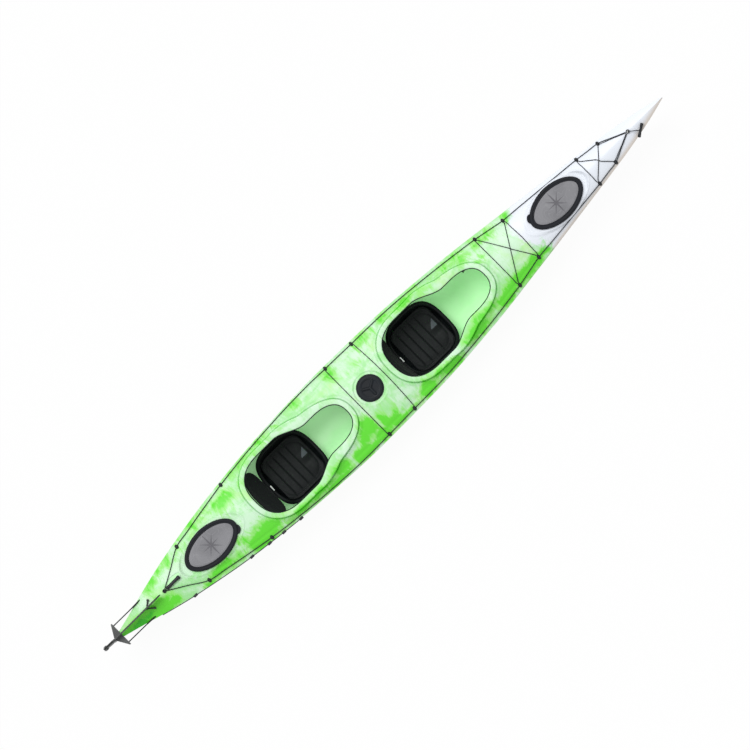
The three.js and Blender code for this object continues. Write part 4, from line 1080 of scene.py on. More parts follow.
@dataclass
class Keyhole:
    """A cockpit's keyhole opening, with its coaming's lip, groove and soft shoulder.

    Args:
        aft: The place of its aft end.
        steps: Distance outwards, share of the way from deck to rim, and lift, for each ring.
    """

    aft: float
    steps: Sequence[Point]
    length: float = 0.936
    half_width: float = 0.2325
    aft_round: float = 0.28
    throat_start: float = 0.43
    throat_end: float = 0.7
    throat: float = 0.64
    fore_round: float = 0.24
    power: float = 2.5
    rise: float = 0.022
    follow: float = 0.6
    count: int = 1440
    brace: float = 0.04
    near: float = 0.004
    outer: float = 0.03
    mid_lip: float = 0.018

    def __post_init__(self) -> None:
        """Lays out the opening's outline, the coaming's fuller one, and their outward directions."""
        angle = 2 * np.pi * np.arange(self.count) / self.count
        along = (1 + np.cos(angle)) / 2
        side = np.sign(np.sin(angle)) * self.half_width
        dense = np.column_stack((self.aft + self.length * along, side * self.half_at(along, self.throat)))
        closed = np.vstack((dense, dense[:1]))
        far = np.concatenate(([0], np.cumsum(np.linalg.norm(np.diff(closed, axis=0), axis=1))))
        even = np.linspace(0, far[-1], self.count, endpoint=False)
        self.outline = np.column_stack([np.interp(even, far, closed[:, k]) for k in range(2)])
        ahead = np.roll(self.outline, -6, axis=0) - np.roll(self.outline, 6, axis=0)
        ahead /= np.linalg.norm(ahead, axis=1)[:, None]
        self.out = np.column_stack((ahead[:, 1], -ahead[:, 0]))
        place = (self.outline[:, 0] - self.aft) / self.length
        bulge = smoothstep(place, 0.4, 0.62) * (1 - smoothstep(place, 0.62, 0.99))
        self.extra = self.brace * bulge

    def half_at(self, along: Array, throat: float) -> Array:
        """Its half-width at a share of its length, as a share of its widest."""
        narrow = 1 - (1 - throat) * smoothstep(along, self.throat_start, self.throat_end)
        aft = np.maximum(0, 1 - along / self.aft_round)
        fore = np.maximum(0, 1 - (1 - along) / self.fore_round)
        round_ends = np.maximum(0, (1 - aft**self.power) * (1 - fore**self.power))
        return narrow * round_ends ** (1 / self.power)

    def rim_z(self, x: Array, y: Array) -> Array:
        """The height of the coaming's rim."""
        return self.follow * LINES.deck_z(x, y) + (1 - self.follow) * LINES.deck_z(x, 0 * y) + self.rise

    def offset(self, distance: float) -> Array:
        """The outline moved outwards, and further out past the thigh braces."""
        past = float(smoothstep(np.array(distance), self.near, self.outer))
        return self.outline + self.out * (distance + self.extra * past)[:, None]

    def contains(self, x: Array, y: Array) -> Array:
        """Which points lie inside the outermost ring."""
        edge = self.offset(self.steps[0][0])
        upper = edge[edge[:, 1] >= 0]
        upper = upper[np.argsort(upper[:, 0])]
        limit = np.interp(x, upper[:, 0], upper[:, 1], left=-1, right=-1)
        return np.abs(y) < limit

    def turn(self, x: Array, y: Array) -> Array:
        """Each point's nearest place round the outermost ring."""
        edge = self.offset(self.steps[0][0])
        dx, dy = (np.asarray(p)[:, None] - edge[None, :, k] for k, p in enumerate((x, y)))
        return np.argmin(dx**2 + dy**2, axis=1) / self.count

    def at(self, turn: Array, distance: float) -> Array:
        """Plan points at a distance outside the outline."""
        place = (np.asarray(turn) % 1) * self.count
        low = np.floor(place).astype(int) % self.count
        share = (place - np.floor(place))[:, None]
        edge = self.offset(distance)
        return edge[low] * (1 - share) + edge[(low + 1) % self.count] * share

    def ring(self, turn: Array, index: int) -> Array:
        """The points of one ring."""
        distance, rim, lift = self.steps[index]
        xy = self.at(turn, distance)
        deck = LINES.deck_z(xy[:, 0], xy[:, 1])
        return np.column_stack((xy, deck * (1 - rim) + self.rim_at(turn) * rim + lift))

    def rim_at(self, turn: Array) -> Array:
        """The rim's height at places round the opening, taken in the middle of its lip."""
        edge = self.at(turn, self.mid_lip)
        return self.rim_z(edge[:, 0], edge[:, 1])


@dataclass
class Oval:
    """A round or oval opening with its recess.

    Args:
        x: Its centre.
        steps: Half-length, half-width, share of the way from deck to seat, and lift, for each ring.
        seat: The height of its flat seat.
        power: How full its corners are.
    """

    x: float
    steps: Sequence[tuple[float, float, float, float]]
    seat: float
    power: float = 1.88

    def contains(self, x: Array, y: Array) -> Array:
        """Which points lie inside the outermost ring."""
        a, b = self.steps[0][:2]
        return np.abs((x - self.x) / a) ** self.power + np.abs(y / b) ** self.power < 1

    def turn(self, x: Array, y: Array) -> Array:
        """Each point's place round the outermost ring."""
        a, b = self.steps[0][:2]
        dx, dy = (np.asarray(x) - self.x) / a, np.asarray(y) / b
        up, ahead = (np.sign(d) * np.abs(d) ** (self.power / 2) for d in (dy, dx))
        angle = np.arctan2(up, ahead)
        return (angle / (2 * np.pi)) % 1

    def ring(self, turn: Array, index: int) -> Array:
        """The points of one ring."""
        a, b, seated, lift = self.steps[index]
        along, across = super_oval(2 * np.pi * np.asarray(turn), self.power)
        x, y = self.x + a * along, b * across
        return np.column_stack((x, y, LINES.deck_z(x, y) * (1 - seated) + self.seat * seated + lift))


def cut(bm: Shape, opening: Keyhole | Oval) -> None:
    """Cuts an opening in a skin and extrudes its rings from the cut edge.

    Args:
        bm: The skin.
        opening: The opening.
    """
    faces = [f for f in bm.faces if f.normal.z > 0.25]
    centres = np.array([f.calc_center_median()[:2] for f in faces])
    inside = opening.contains(centres[:, 0], centres[:, 1])
    bmesh.ops.delete(bm, geom=[f for f, gone in zip(faces, inside) if gone], context="FACES")
    fresh = [e for e in bm.edges if e.is_boundary and not e.tag]
    following = {}
    for edge in fresh:
        for vert in edge.verts:
            following.setdefault(vert, []).append(edge)
    loop = [fresh[0].verts[0]]
    edge = fresh[0]
    while True:
        nxt = edge.other_vert(loop[-1])
        if nxt == loop[0]:
            break
        loop.append(nxt)
        edge = next(e for e in following[nxt] if e != edge)
    turn = opening.turn(np.array([v.co.x for v in loop]), np.array([v.co.y for v in loop]))
    turn = np.unwrap(turn * 2 * np.pi) / (2 * np.pi)
    whole = round(turn[-1] - turn[0])
    whole = whole or (1 if turn[len(turn) // 2] > turn[0] else -1)
    for _ in range(30):
        before = np.concatenate(([turn[-1] - whole], turn[:-1]))
        after = np.concatenate((turn[1:], [turn[0] + whole]))
        turn = 0.4 * turn + 0.3 * (before + after)
    place(loop, opening.ring(turn, 0))
    edges = [e for e in fresh if e.is_valid]
    for index in range(1, len(opening.steps)):
        grown = bmesh.ops.extrude_edge_only(bm, edges=edges)["geom"]
        new = {v for v in grown if isinstance(v, bmesh.types.BMVert)}
        edges = [
            e for e in grown
            if isinstance(e, bmesh.types.BMEdge) and e.verts[0] in new and e.verts[1] in new
        ]
        loop = [next(e.other_vert(v) for e in v.link_edges if e.other_vert(v) in new) for v in loop]
        place(loop, opening.ring(turn, index))
    for edge in edges:
        edge.tag = True


def place(verts: Sequence[bmesh.types.BMVert], points: Array) -> None:
    """Moves points of a mesh to places."""
    for vert, point in zip(verts, points):
        vert.co = point


@dataclass(frozen=True)
class Splash:
    """A splash of bright green in the marbling: its middle, half-lengths and strength."""

    x: float
    y: float
    long: float
    wide: float
    strength: float = 1.0


@dataclass
class Hull:
    """The moulded hull: marbled skin with coamings and recesses, inner face and foot rails."""

    finishes: Finishes
    wall: float = 0.005
    ring_faces: int = 120
    fine: float = 0.009
    coarse: float = 0.022
    cockpit_aft: dict[End, float] = field(default_factory=lambda: {End.REAR: -1.3074, End.FRONT: 0.0918})
    hatch_x: dict[End, float] = field(default_factory=lambda: {End.REAR: -1.753, End.FRONT: 1.7584})
    hatch_drop: float = 0.012
    screw_x: float = -0.1387
    screw_drop: float = 0.006
    rail_x: tuple[float, float] = (-0.4501, 0.96)
    rail: Point = (0.32, 0.01, 0.02)
    rail_z: float = 0.135
    rail_inset: float = 0.044
    rail_foot: tuple[float, float] = (0.022, 0.0185)
    trim_in: float = 0.0022
    trim_down: float = 0.004
    trim_radius: float = 0.0034
    recess_at: tuple[float, float] = (-2.126, 0.01)
    recess_half: tuple[float, float] = (0.086, 0.031)
    recess_depth: float = 0.009
    crease_in: float = 0.062
    crease_width: float = 0.009
    crease_depth: float = 0.0036
    skeg_width: float = 0.02
    skeg_depth: float = 0.003
    snow_from: float = 1.455
    splashes: Sequence[Splash] = tuple(Splash(*row) for row in (
        (-2.52, -0.045, 0.26, 0.05, 1.7), (-2.33, -0.1, 0.14, 0.05, 1.0),
        (-2.22, -0.1, 0.07, 0.045, 0.8), (-2.28, 0.12, 0.11, 0.04, 0.45),
        (-2.08, 0.17, 0.09, 0.04, 0.35), (-1.93, -0.19, 0.1, 0.04, 0.6),
        (-1.82, -0.17, 0.14, 0.04, 0.9), (-1.43, -0.22, 0.17, 0.08, 1.0),
        (-1.56, -0.15, 0.07, 0.05, 0.5), (-1.46, 0.18, 0.15, 0.06, 0.6),
        (-1.72, 0.2, 0.12, 0.04, 0.45), (-1.3, 0.25, 0.09, 0.04, 0.35),
        (-1.1, -0.275, 0.16, 0.035, 0.7), (-0.9, -0.285, 0.18, 0.03, 0.6),
        (-1.0, 0.3, 0.14, 0.04, 0.5), (-0.62, 0.31, 0.09, 0.04, 0.55),
        (-0.68, -0.27, 0.09, 0.05, 0.8), (-0.5, -0.3, 0.1, 0.05, 1.0),
        (-0.34, -0.2, 0.07, 0.09, 1.0), (-0.3, -0.3, 0.08, 0.06, 1.0),
        (-0.17, -0.29, 0.07, 0.05, 0.9), (-0.28, 0.28, 0.06, 0.07, 0.6),
        (-0.1, 0.2, 0.1, 0.05, 0.25), (0.06, 0.3, 0.1, 0.05, 0.5),
        (-0.78, -0.315, 0.22, 0.022, 0.75), (-0.42, -0.315, 0.2, 0.026, 0.85),
        (-0.1, -0.315, 0.16, 0.02, 0.6), (-0.42, -0.235, 0.05, 0.06, 0.8),
        (-0.23, -0.25, 0.035, 0.09, 0.9), (-0.12, -0.25, 0.03, 0.05, 0.6),
        (-2.2, 0.14, 0.3, 0.05, 0.42), (-1.75, 0.22, 0.28, 0.05, 0.4),
        (-1.2, 0.28, 0.3, 0.045, 0.42), (0.3, 0.3, 0.4, 0.04, 0.42), (0.9, 0.25, 0.25, 0.05, 0.42),
        (-1.6, -0.2, 0.3, 0.06, 0.42), (0.17, -0.29, 0.08, 0.06, 1.0), (0.4, -0.3, 0.12, 0.04, 0.9),
        (0.27, -0.27, 0.1, 0.03, 0.6), (0.45, 0.275, 0.12, 0.035, 0.8),
        (0.62, 0.24, 0.08, 0.05, 0.4), (0.7, -0.25, 0.14, 0.05, 0.9), (0.83, -0.2, 0.14, 0.04, 0.6),
        (0.98, 0.2, 0.1, 0.06, 0.4), (1.03, -0.23, 0.09, 0.05, 0.9), (1.2, -0.2, 0.16, 0.05, 1.1),
        (1.35, -0.19, 0.1, 0.05, 0.8), (1.2, 0.2, 0.15, 0.045, 0.5), (1.44, 0.16, 0.05, 0.07, 0.85),
        (1.48, -0.18, 0.07, 0.03, 1.1), (1.1, 0.1, 0.08, 0.05, 0.3),
    ))

    def keyhole(self, end: End) -> Keyhole:
        """A cockpit's opening with the coaming's rings."""
        steps = (
            (0.073, 0, 0), (0.07, 0, 0.0006), (0.066, 0, 0.0022), (0.0615, 0, 0.0046), (0.057, 0, 0.0064),
            (0.0525, 0, 0.007), (0.048, 0, 0.0062), (0.044, 0, 0.003), (0.041, 0, -0.002),
            (0.038, 0, -0.0048), (0.034, 0, -0.005), (0.022, 0, -0.0006), (0.014, 0, 0.0015),
            (0.0115, 0, 0.006), (0.0115, 1, -0.0105), (0.0145, 1, -0.0078), (0.032, 1, -0.007),
            (0.0365, 1, -0.006), (0.038, 1, -0.0038), (0.0372, 1, -0.0014), (0.0345, 1, -0.0003),
            (0.029, 1, 0), (0.018, 1, 0.0004), (0.007, 1, 0), (0.0025, 1, -0.001), (0.0002, 1, -0.004),
            (0, 1, -0.012), (0.0002, 1, -0.022), (0.0005, 0, -0.004), (0.0015, 0, -0.013)
        )
        return Keyhole(self.cockpit_aft[end], steps)

    def seat_z(self, end: End) -> float:
        """The height of a hatch's flat seat."""
        return float(LINES.deck_z(self.hatch_x[end], 0)) - self.hatch_drop

    def hatch(self, end: End) -> Oval:
        """An oval hatch's recess, collar and mouth."""
        a, b, c, d = 0.281, 0.146, 0.207, 0.1065
        shoulder = (
            (0.03, 0, 0), (0.025, 0, 0.0026), (0.02, 0.06, 0.0034), (0.015, 0.22, 0.0026),
            (0.01, 0.45, 0.0012), (0.005, 0.72, 0), (0.000, 0.92, 0), (-0.005, 1, 0)
        )
        steps = [(a + g, b + 0.3 * g, s, lift) for g, s, lift in shoulder]
        steps += [(a + (c - a) * t, b + (d - b) * t, 1, 0) for t in (0.25, 0.5, 0.75)]
        steps += [(c + 0.005, d + 0.005, 1, z) for z in (0, 0.004, 0.0115)]
        steps += [(c + 0.0035, d + 0.0035, 1, 0.013), (c + 0.0015, d + 0.0015, 1, 0.013)]
        steps += [(c, d, 1, z) for z in (0.0115, 0, -0.02, -0.045)]
        return Oval(self.hatch_x[end], steps, self.seat_z(end))

    def screw_seat_z(self) -> float:
        """The height of the screw hatch's seat."""
        return float(LINES.deck_z(self.screw_x, 0)) - self.screw_drop

    def screw(self) -> Oval:
        """The screw hatch's round recess and neck."""
        rings = (
            (0.136, 0, 0), (0.132, 0.05, 0.0012), (0.128, 0.2, 0.0014), (0.1245, 0.6, 0.0006),
            (0.1215, 0.95, -0.0008), (0.118, 1, -0.0018), (0.113, 1, -0.0014), (0.108, 1, 0),
            (0.098, 1, 0), (0.09, 1, 0), (0.0835, 1, 0), (0.0823, 1, -0.001), (0.0823, 1, -0.012),
            (0.0823, 1, -0.026)
        )
        return Oval(self.screw_x, [(r, r, s, lift) for r, s, lift in rings], self.screw_seat_z(), 2.0)

    def stations(self) -> Array:
        """Places along the boat, closer together round the openings."""

        def pitch(x: float) -> float:
            """The distance to the next station."""
            near = min(abs(x - self.hatch_x[e]) for e in End)
            if -1.46 < x < 1.18 or near < 0.34 or -2.26 < x < -2.0:
                return self.fine
            return 0.01 if x < -2.6 or x > 2.74 else self.coarse

        places = [LINES.stern]
        while places[-1] < LINES.stern + LINES.length:
            places.append(places[-1] + pitch(places[-1]))
        places = np.array(places)
        return LINES.stern + (places - places[0]) * LINES.length / (places[-1] - places[0])

    def relief(self, points: Array) -> Array:
        """Adds the deck's soft relief: the toggle's recess, the side creases and the aft ridge."""
        x, y = points[:, 0], points[:, 1]
        deck = points[:, 2] >= LINES.sheer_z(x) - 1e-6
        (at_x, at_y), (half_x, half_y) = self.recess_at, self.recess_half
        hollow = np.clip(1 - ((x - at_x) / half_x) ** 2 - ((y - at_y) / half_y) ** 2, 0, 1)
        drop = self.recess_depth * smoothstep(hollow, 0, 0.4)
        reach = smoothstep(x, -2.05, -1.75) * (1 - smoothstep(x, 1.25, 1.5))
        inner = np.abs(y) - (LINES.half(x) - self.crease_in)
        crease = self.crease_depth * bell(inner, 0, self.crease_width) * reach
        aft = 1 - smoothstep(LINES.share(x), 0.1, 0.16)
        keel = bell(y, 0, self.skeg_width) * aft * self.skeg_depth
        points[:, 2] += np.where(deck, keel - drop - crease, 0)
        return points

    def build_skin(self) -> None:
        """The outer skin, in one piece with the coamings and recesses."""
        stations = self.stations()

        def shape(u: Array, v: Array) -> Array:
            """The hull's outer face."""
            i = np.rint(u * (len(stations) - 1)).astype(int)
            return self.relief(LINES.section(stations[i], v))

        bm = warped_grid(len(stations) - 1, self.ring_faces, shape, wrap=True)
        close_ends(bm)
        for opening in (*(self.keyhole(e) for e in End), *(self.hatch(e) for e in End), self.screw()):
            cut(bm, opening)
        bmesh.ops.recalc_face_normals(bm, faces=bm.faces)
        self.paint(bm)
        role = Role("hull", Slot.SHELL, ("hull_shell",))
        publish(bm, "hull_skin", self.finishes.shell, role, 60)

    def paint(self, bm: Shape) -> None:
        """Writes where the green and the white lie, and where painted shade falls on the sides below the gunwale,
        reaching higher up the starboard bow.
        """
        co = np.array([v.co[:] for v in bm.verts])
        x, y, z = co.T
        green = np.zeros(len(co))
        for s in self.splashes:
            away = np.sqrt(((x - s.x) / s.long) ** 2 + ((y - s.y) / s.wide) ** 2)
            green = np.maximum(green, 1.35 * s.strength * bell(away, 0, 0.95))
        past = x - (self.snow_from - 0.05 * np.cos(y * 9) + 0.03 * (y < -0.12))
        snow = smoothstep(past, -0.13, 0.12) + 0.7 * smoothstep(past, 0.08, 0.4)
        snow = snow - 0.5 * smoothstep(-past, 0.1, 0.4)
        # Painted shade: a band below the gunwale. It reaches higher on the starboard side of the bow, the side away
        # from the light, and fades lower down at the bow.
        starboard_bow_shade = 0.024 * smoothstep(x, 1.3, 1.6) * (y < 0)
        below = LINES.sheer_z(x) - z
        flank = smoothstep(below + starboard_bow_shade, 0.002, 0.022) * (
            1 - 0.65 * smoothstep(below, 0.05, 0.13) * (x > 1.3)
        )
        for name, values in (("splash", green), ("snow", snow), ("flank", flank)):
            layer = bm.verts.layers.float.new(name)
            for vert, value in zip(bm.verts, values):
                vert[layer] = float(value)

    def build_lining(self) -> None:
        """The inner face of the shell, open under each hatch and cockpit."""
        near, far = LINES.x_at(0.025), LINES.x_at(0.955)

        def shape(u: Array, v: Array) -> Array:
            """The hull's inner face."""
            return LINES.section(near + (far - near) * u, v, self.wall)

        bm = warped_grid(360, 96, shape, wrap=True)
        close_ends(bm)
        for end in End:
            under = -self.wall - 0.001
            cut(bm, Keyhole(self.cockpit_aft[end], [(0.0022, 0, under)]))
            cut(bm, Oval(self.hatch_x[end], [(0.3, 0.15, 0, under)], self.seat_z(end)))
        cut(bm, Oval(self.screw_x, [(0.126, 0.126, 0, under)], self.screw_seat_z(), 2.0))
        bmesh.ops.recalc_face_normals(bm, faces=bm.faces)
        bmesh.ops.reverse_faces(bm, faces=bm.faces)
        publish(bm, "hull_lining", self.finishes.lining, Role("hull", Slot.SHELL))

    def rail_y(self, x: float) -> float:
        """How far out a foot rail stands."""
        reach = self.rail[0] / 2
        return float(min(LINES.half(x - reach), LINES.half(x + reach))) - self.rail_inset

    def build_rails(self) -> None:
        """The four rails for the foot braces, on their moulded feet."""
        parts = []
        for x in self.rail_x:
            y = self.rail_y(x)
            for side in Side:
                parts.append(soft_block(self.rail, (x, side.value * y, self.rail_z), 0.0025))
                long, high = self.rail_foot
                for end in (-1, 1):
                    at = x + end * (self.rail[0] / 2 - 0.012)
                    reach = max(0.012, LINES.side_y(at, self.rail_z) - self.wall - y - 0.001)
                    centre = (at, side.value * (y + reach / 2), self.rail_z)
                    parts.append(soft_block((long, reach, high), centre, 0.003))
        publish(merged(parts), "foot_rails", self.finishes.black, Role("hull", Slot.BLACK))

    def build_trim(self, end: End) -> None:
        """A thin dark tube just inside a cockpit's rim, along the opening's edge."""
        hole = self.keyhole(end)
        turn = np.linspace(0, 1.004, 362)
        path = np.column_stack((hole.at(turn, -self.trim_in), hole.rim_at(turn) - self.trim_down))
        bm = swept(path, self.trim_radius, 10)
        publish(bm, f"{end.value}_coaming_trim", self.finishes.rubber, Role("hull", Slot.RUBBER))

    def build(self) -> None:
        """Builds the hull."""
        self.build_skin()
        self.build_lining()
        self.build_rails()
        for end in End:
            self.build_trim(end)


# Cockpits


@dataclass
class Cockpit:
    """One paddler's seat: moulded pan, ribbed cushion and hinged backrest."""

    finishes: Finishes
    end: End
    x: float
    lean: float
    length: float = 0.43
    width: float = 0.436
    wall: float = 0.006
    floor: float = 0.024
    front_rim: float = 0.1
    side_rim: float = 0.205
    back_rim: float = 0.088
    flange: float = 0.02
    power: float = 3.2
    levels: Table = ((0, 0.8), (0.16, 0.92), (0.5, 0.985), (1, 1))
    pad_length: float = 0.362
    pad_width: float = 0.388
    pad_height: float = 0.026
    ribs: int = 5
    back_width: float = 0.4
    back_height: float = 0.188
    back_thick: float = 0.03
    back_wrap: float = 0.044
    hinge_aft: float = 0.02
    hinge_z: float = 0.092
    ear: Point = (0.03, 0.009, 0.024)
    ear_at: Point = (0.009, 0.0798, -0.008)
    runner: tuple[float, float] = (0.3, 0.028)
    runner_y: float = 0.055
    pad_side: float = 0.006
    corner_height: float = 0.092
    barrel: tuple[float, float] = (0.075, 0.009)

    @property
    def hinge_x(self) -> float:
        """The place of the backrest's hinge."""
        return self.x - self.length / 2 - self.hinge_aft

    def pan_point(self, angle: Array, up: Array, inset: float, out: Array) -> Array:
        """A point on the pan's wall.

        Args:
            angle: The place round the seat.
            up: The height, from 0 at the floor to 1 at the rim.
            inset: How far inside the outer face.
            out: How far outside it, for the flange.

        Returns:
            The points, one row each.
        """
        along, across = super_oval(angle, self.power)
        ends = np.where(along > 0, self.front_rim, self.back_rim)
        rim = ends + (self.side_rim - ends) * (1 - np.abs(along) ** 3)
        spread = through(self.levels)(up)
        x = self.x + (self.length / 2 - inset + out) * along * spread
        y = (self.width / 2 - inset + out) * across * spread
        return np.column_stack((x, y, self.floor + inset + up * (rim - self.floor - inset)))

    def build_pan(self) -> None:
        """The seat pan with its rolled flange, standing on two runners."""
        outer = [(t, 0.0, 0.0, 0.0) for t in np.linspace(0, 1, 12)]
        lip = [
            (1, 0, 0.004, 0.001), (1, 0, 0.012, 0.0005), (1, 0, self.flange, -0.004),
            (1, 0, self.flange + 0.001, -0.001), (1, 0, self.flange - 0.002, 0.003),
            (1, 0, 0.008, 0.0055), (1, 0, 0, 0.0052), (1, 0, -0.004, 0.002)
        ]
        inner = [(t, self.wall, 0.0, 0.0) for t in np.linspace(0.985, 0, 16)]
        rows = outer + lip + inner
        steps = len(rows) + 1

        def shape(u: Array, v: Array) -> Array:
            """The pan, from under its floor, over its rim, to the floor inside."""
            k = np.rint(v * steps).astype(int)
            row = np.array([rows[0], *rows, rows[-1]])[k]
            points = np.zeros((len(u), 3))
            for inset in (0.0, self.wall):
                pick = row[:, 1] == inset
                points[pick] = self.pan_point(2 * np.pi * u[pick], row[pick, 0], inset, row[pick, 2])
            points[:, 2] += row[:, 3]
            hub = (k == 0) | (k == steps)
            points[hub, 0], points[hub, 1] = self.x, 0
            return points

        bm = warped_grid(160, steps, shape)
        weld(bm)
        parts = [bm]
        for side in (-1, 1):
            centre = (self.x, side * self.runner_y, (self.floor + 0.0083) / 2)
            parts.append(soft_block((*self.runner, self.floor - 0.003), centre, 0.003))
            ahead, out, up = self.ear_at
            parts.append(soft_block(self.ear, (self.hinge_x + ahead, side * out, self.hinge_z + up), 0.003))
        name = f"{self.end.value}_seat_pan"
        role = Role("hull", Slot.SEAT, (name,))
        publish(merged(parts), f"{name}_shell", self.finishes.seat, role, 50)

    def pan_floor(self, x: Array, y: Array) -> Array:
        """The height of the pan's inner face, which climbs from its floor into its walls."""
        along = np.abs(x - self.x) / (self.length / 2 - self.wall)
        across = np.abs(y) / (self.width / 2 - self.wall)
        reach = (along**self.power + across**self.power) ** (1 / self.power)
        levels = np.array(self.levels)
        up = np.interp(reach, levels[:, 1], levels[:, 0])
        ends = np.where(x > self.x, self.front_rim, self.back_rim)
        rim = ends + (self.side_rim - ends) * (1 - np.minimum(1, along) ** 3)
        return self.floor + self.wall + up * (rim - self.floor - self.wall)

    def pad_rise(self, along: Array, across: Array) -> Array:
        """The cushion's relief: dished, ribbed athwartship, with a pommel between two thigh lobes.

        Args:
            along: From 0 at the back to 1 at the front.
            across: From -1 to 1.

        Returns:
            The height over the cushion's seam.
        """
        full = rounded(2 * along - 1, 5)
        valley = np.exp(-(((((along * (self.ribs + 1)) % 1) - 0.5) / 0.5) ** 2 - 1) ** 2 * 14)
        front = smoothstep(along, 0.62, 0.86) * (1 - smoothstep(along, 0.9, 1))
        crown = rounded(across, 6)
        dish = 0.009 * (1 - across**2)
        relief = self.pad_height - dish - 0.007 * valley * (1 - front) * (1 - np.abs(across) ** 8)
        lobe = 0.015 * front * np.sin(np.pi * across) ** 2
        pommel = 0.026 * front * np.maximum(0, 1 - 4 * np.abs(across))
        piping = 0.0015 * bell(np.abs(across), 0.9, 0.03)
        return (relief + lobe + pommel + piping) * crown * (0.3 + 0.7 * full)

    def pad_half(self, along: Array) -> Array:
        """Half the cushion's width, from its back at 0 to its front at 1."""
        return self.pad_width / 2 * (0.62 + 0.38 * rounded(2 * along - 1, 5))

    def build_pad(self) -> None:
        """The seat cushion."""

        def shape(u: Array, v: Array) -> Array:
            """The cushion's top, drawn-in sides and flat underside."""
            top = v <= 0.7
            across = np.where(top, -np.cos(np.pi * v / 0.7), 1 - 2 * (v - 0.7) / 0.3)
            rise = np.where(top, self.pad_rise(u, across) + self.pad_side, 0)
            tuck = np.where(top, 1 - 0.03 * np.exp(-rise / 0.004), 0.96)
            x = self.x + self.pad_length * (u - 0.5)
            y = self.pad_half(u) * across * tuck
            return np.column_stack((x, y, self.pan_floor(x, y) + 0.0006 + rise))

        bm = warped_grid(150, 120, shape, wrap=True, uv=(self.pad_length, 0.55))
        close_ends(bm)
        name = f"{self.end.value}_seat_pad"
        piece = publish(bm, f"{name}_cover", self.finishes.cover, Role("hull", Slot.PAD, (name,)), 60)
        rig.padded(piece, fill=0.55)

    def back_point(self, across: Array, angle: Array, proud: float = 0.0) -> Array:
        """A point on the backrest's face, in the row frame.

        Args:
            across: From -1 to 1.
            angle: The place round the section, 0 at the top edge.
            proud: How far outside the face.

        Returns:
            The points, one row each.
        """
        end = rounded(across, 8)
        low = self.corner_height * (1 - rounded(across, 2)) + 0.0045
        high = self.back_height - (self.back_height - self.corner_height) * 0.4 * across**4
        half = (high - low) / 2 * (0.4 + 0.6 * end) + proud
        up, out = super_oval(angle, 3)
        fold = np.sin(np.pi * (up * 0.5 + 0.5) * 3) ** 2 * 0.0022 * (1 - np.abs(across) ** 6)
        thick = self.back_thick / 2 * (0.3 + 0.7 * end) + proud + fold * np.abs(out)
        x = out * thick + self.back_wrap * across**2
        z = (low + high) / 2 + up * half
        lean = math.radians(self.lean)
        turned_x = x * math.cos(lean) - z * math.sin(lean)
        turned_z = x * math.sin(lean) + z * math.cos(lean)
        return np.column_stack(
            (self.hinge_x + turned_x, self.back_width / 2 * across, self.hinge_z + turned_z)
        )

    def build_back(self) -> None:
        """The padded backrest on its hinge barrel."""

        def shape(u: Array, v: Array) -> Array:
            """The backrest's skin."""
            return self.back_point(-np.cos(np.pi * u) * 0.998, 2 * np.pi * v)

        bm = warped_grid(120, 64, shape, wrap=True, uv=(self.back_width, 0.42))
        close_ends(bm)
        name = f"{self.end.value}_backrest"
        piece = publish(bm, f"{name}_pad", self.finishes.cover, Role(name, Slot.PAD, (name,)), 60)
        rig.padded(piece, fill=0.7)
        reach, radius = self.barrel
        axis = np.array([[self.hinge_x, y, self.hinge_z] for y in np.linspace(-reach, reach, 16)])
        barrel = swept(axis, radius, 20)
        publish(barrel, f"{name}_barrel", self.finishes.seat, Role(name, Slot.SEAT))
        rim = self.back_point(np.cos(np.linspace(0, np.pi, 80)) * 0.985, np.zeros(80), 0.0008)
        publish(swept(rim, 0.003, 8), f"{name}_piping", self.finishes.webbing, Role(name, Slot.PAD))

    def build_facet(self) -> None:
        """A lighter triangle over the port half of the pommel, a painted highlight of its lit face, and the pale catch
        at the back of the pan.
        """

        def shape(u: Array, v: Array) -> Array:
            """A thin lighter triangle over the port half of the pommel: painted highlight."""
            along = 0.76 + 0.15 * u
            across = 0.02 + v * 0.36 * (0.12 + 0.88 * u)
            edge = self.pad_half(along)
            x = self.x + self.pad_length * (along - 0.5)
            z = self.pan_floor(x, edge * across) + 0.0066 + self.pad_rise(along, across) + 0.0011
            return np.column_stack((x, edge * across, z))

        bm = warped_grid(24, 24, shape, uv=(0.06, 0.09))
        bmesh.ops.solidify(bm, geom=bm.faces[:], thickness=0.0009)
        publish(bm, f"{self.end.value}_pommel_panel", self.finishes.facet, Role("hull", Slot.PAD))
        centre = (self.x - self.length / 2 + 0.001, -0.002, self.back_rim + 0.0072)
        catch = soft_block((0.009, 0.046, 0.006), centre, 0.0018)
        publish(catch, f"{self.end.value}_seat_catch", self.finishes.pale, Role("hull", Slot.SEAT))

    def build(self) -> None:
        """Builds the seat."""
        self.build_pan()
        self.build_pad()
        self.build_facet()
        self.build_back()


# Hatches


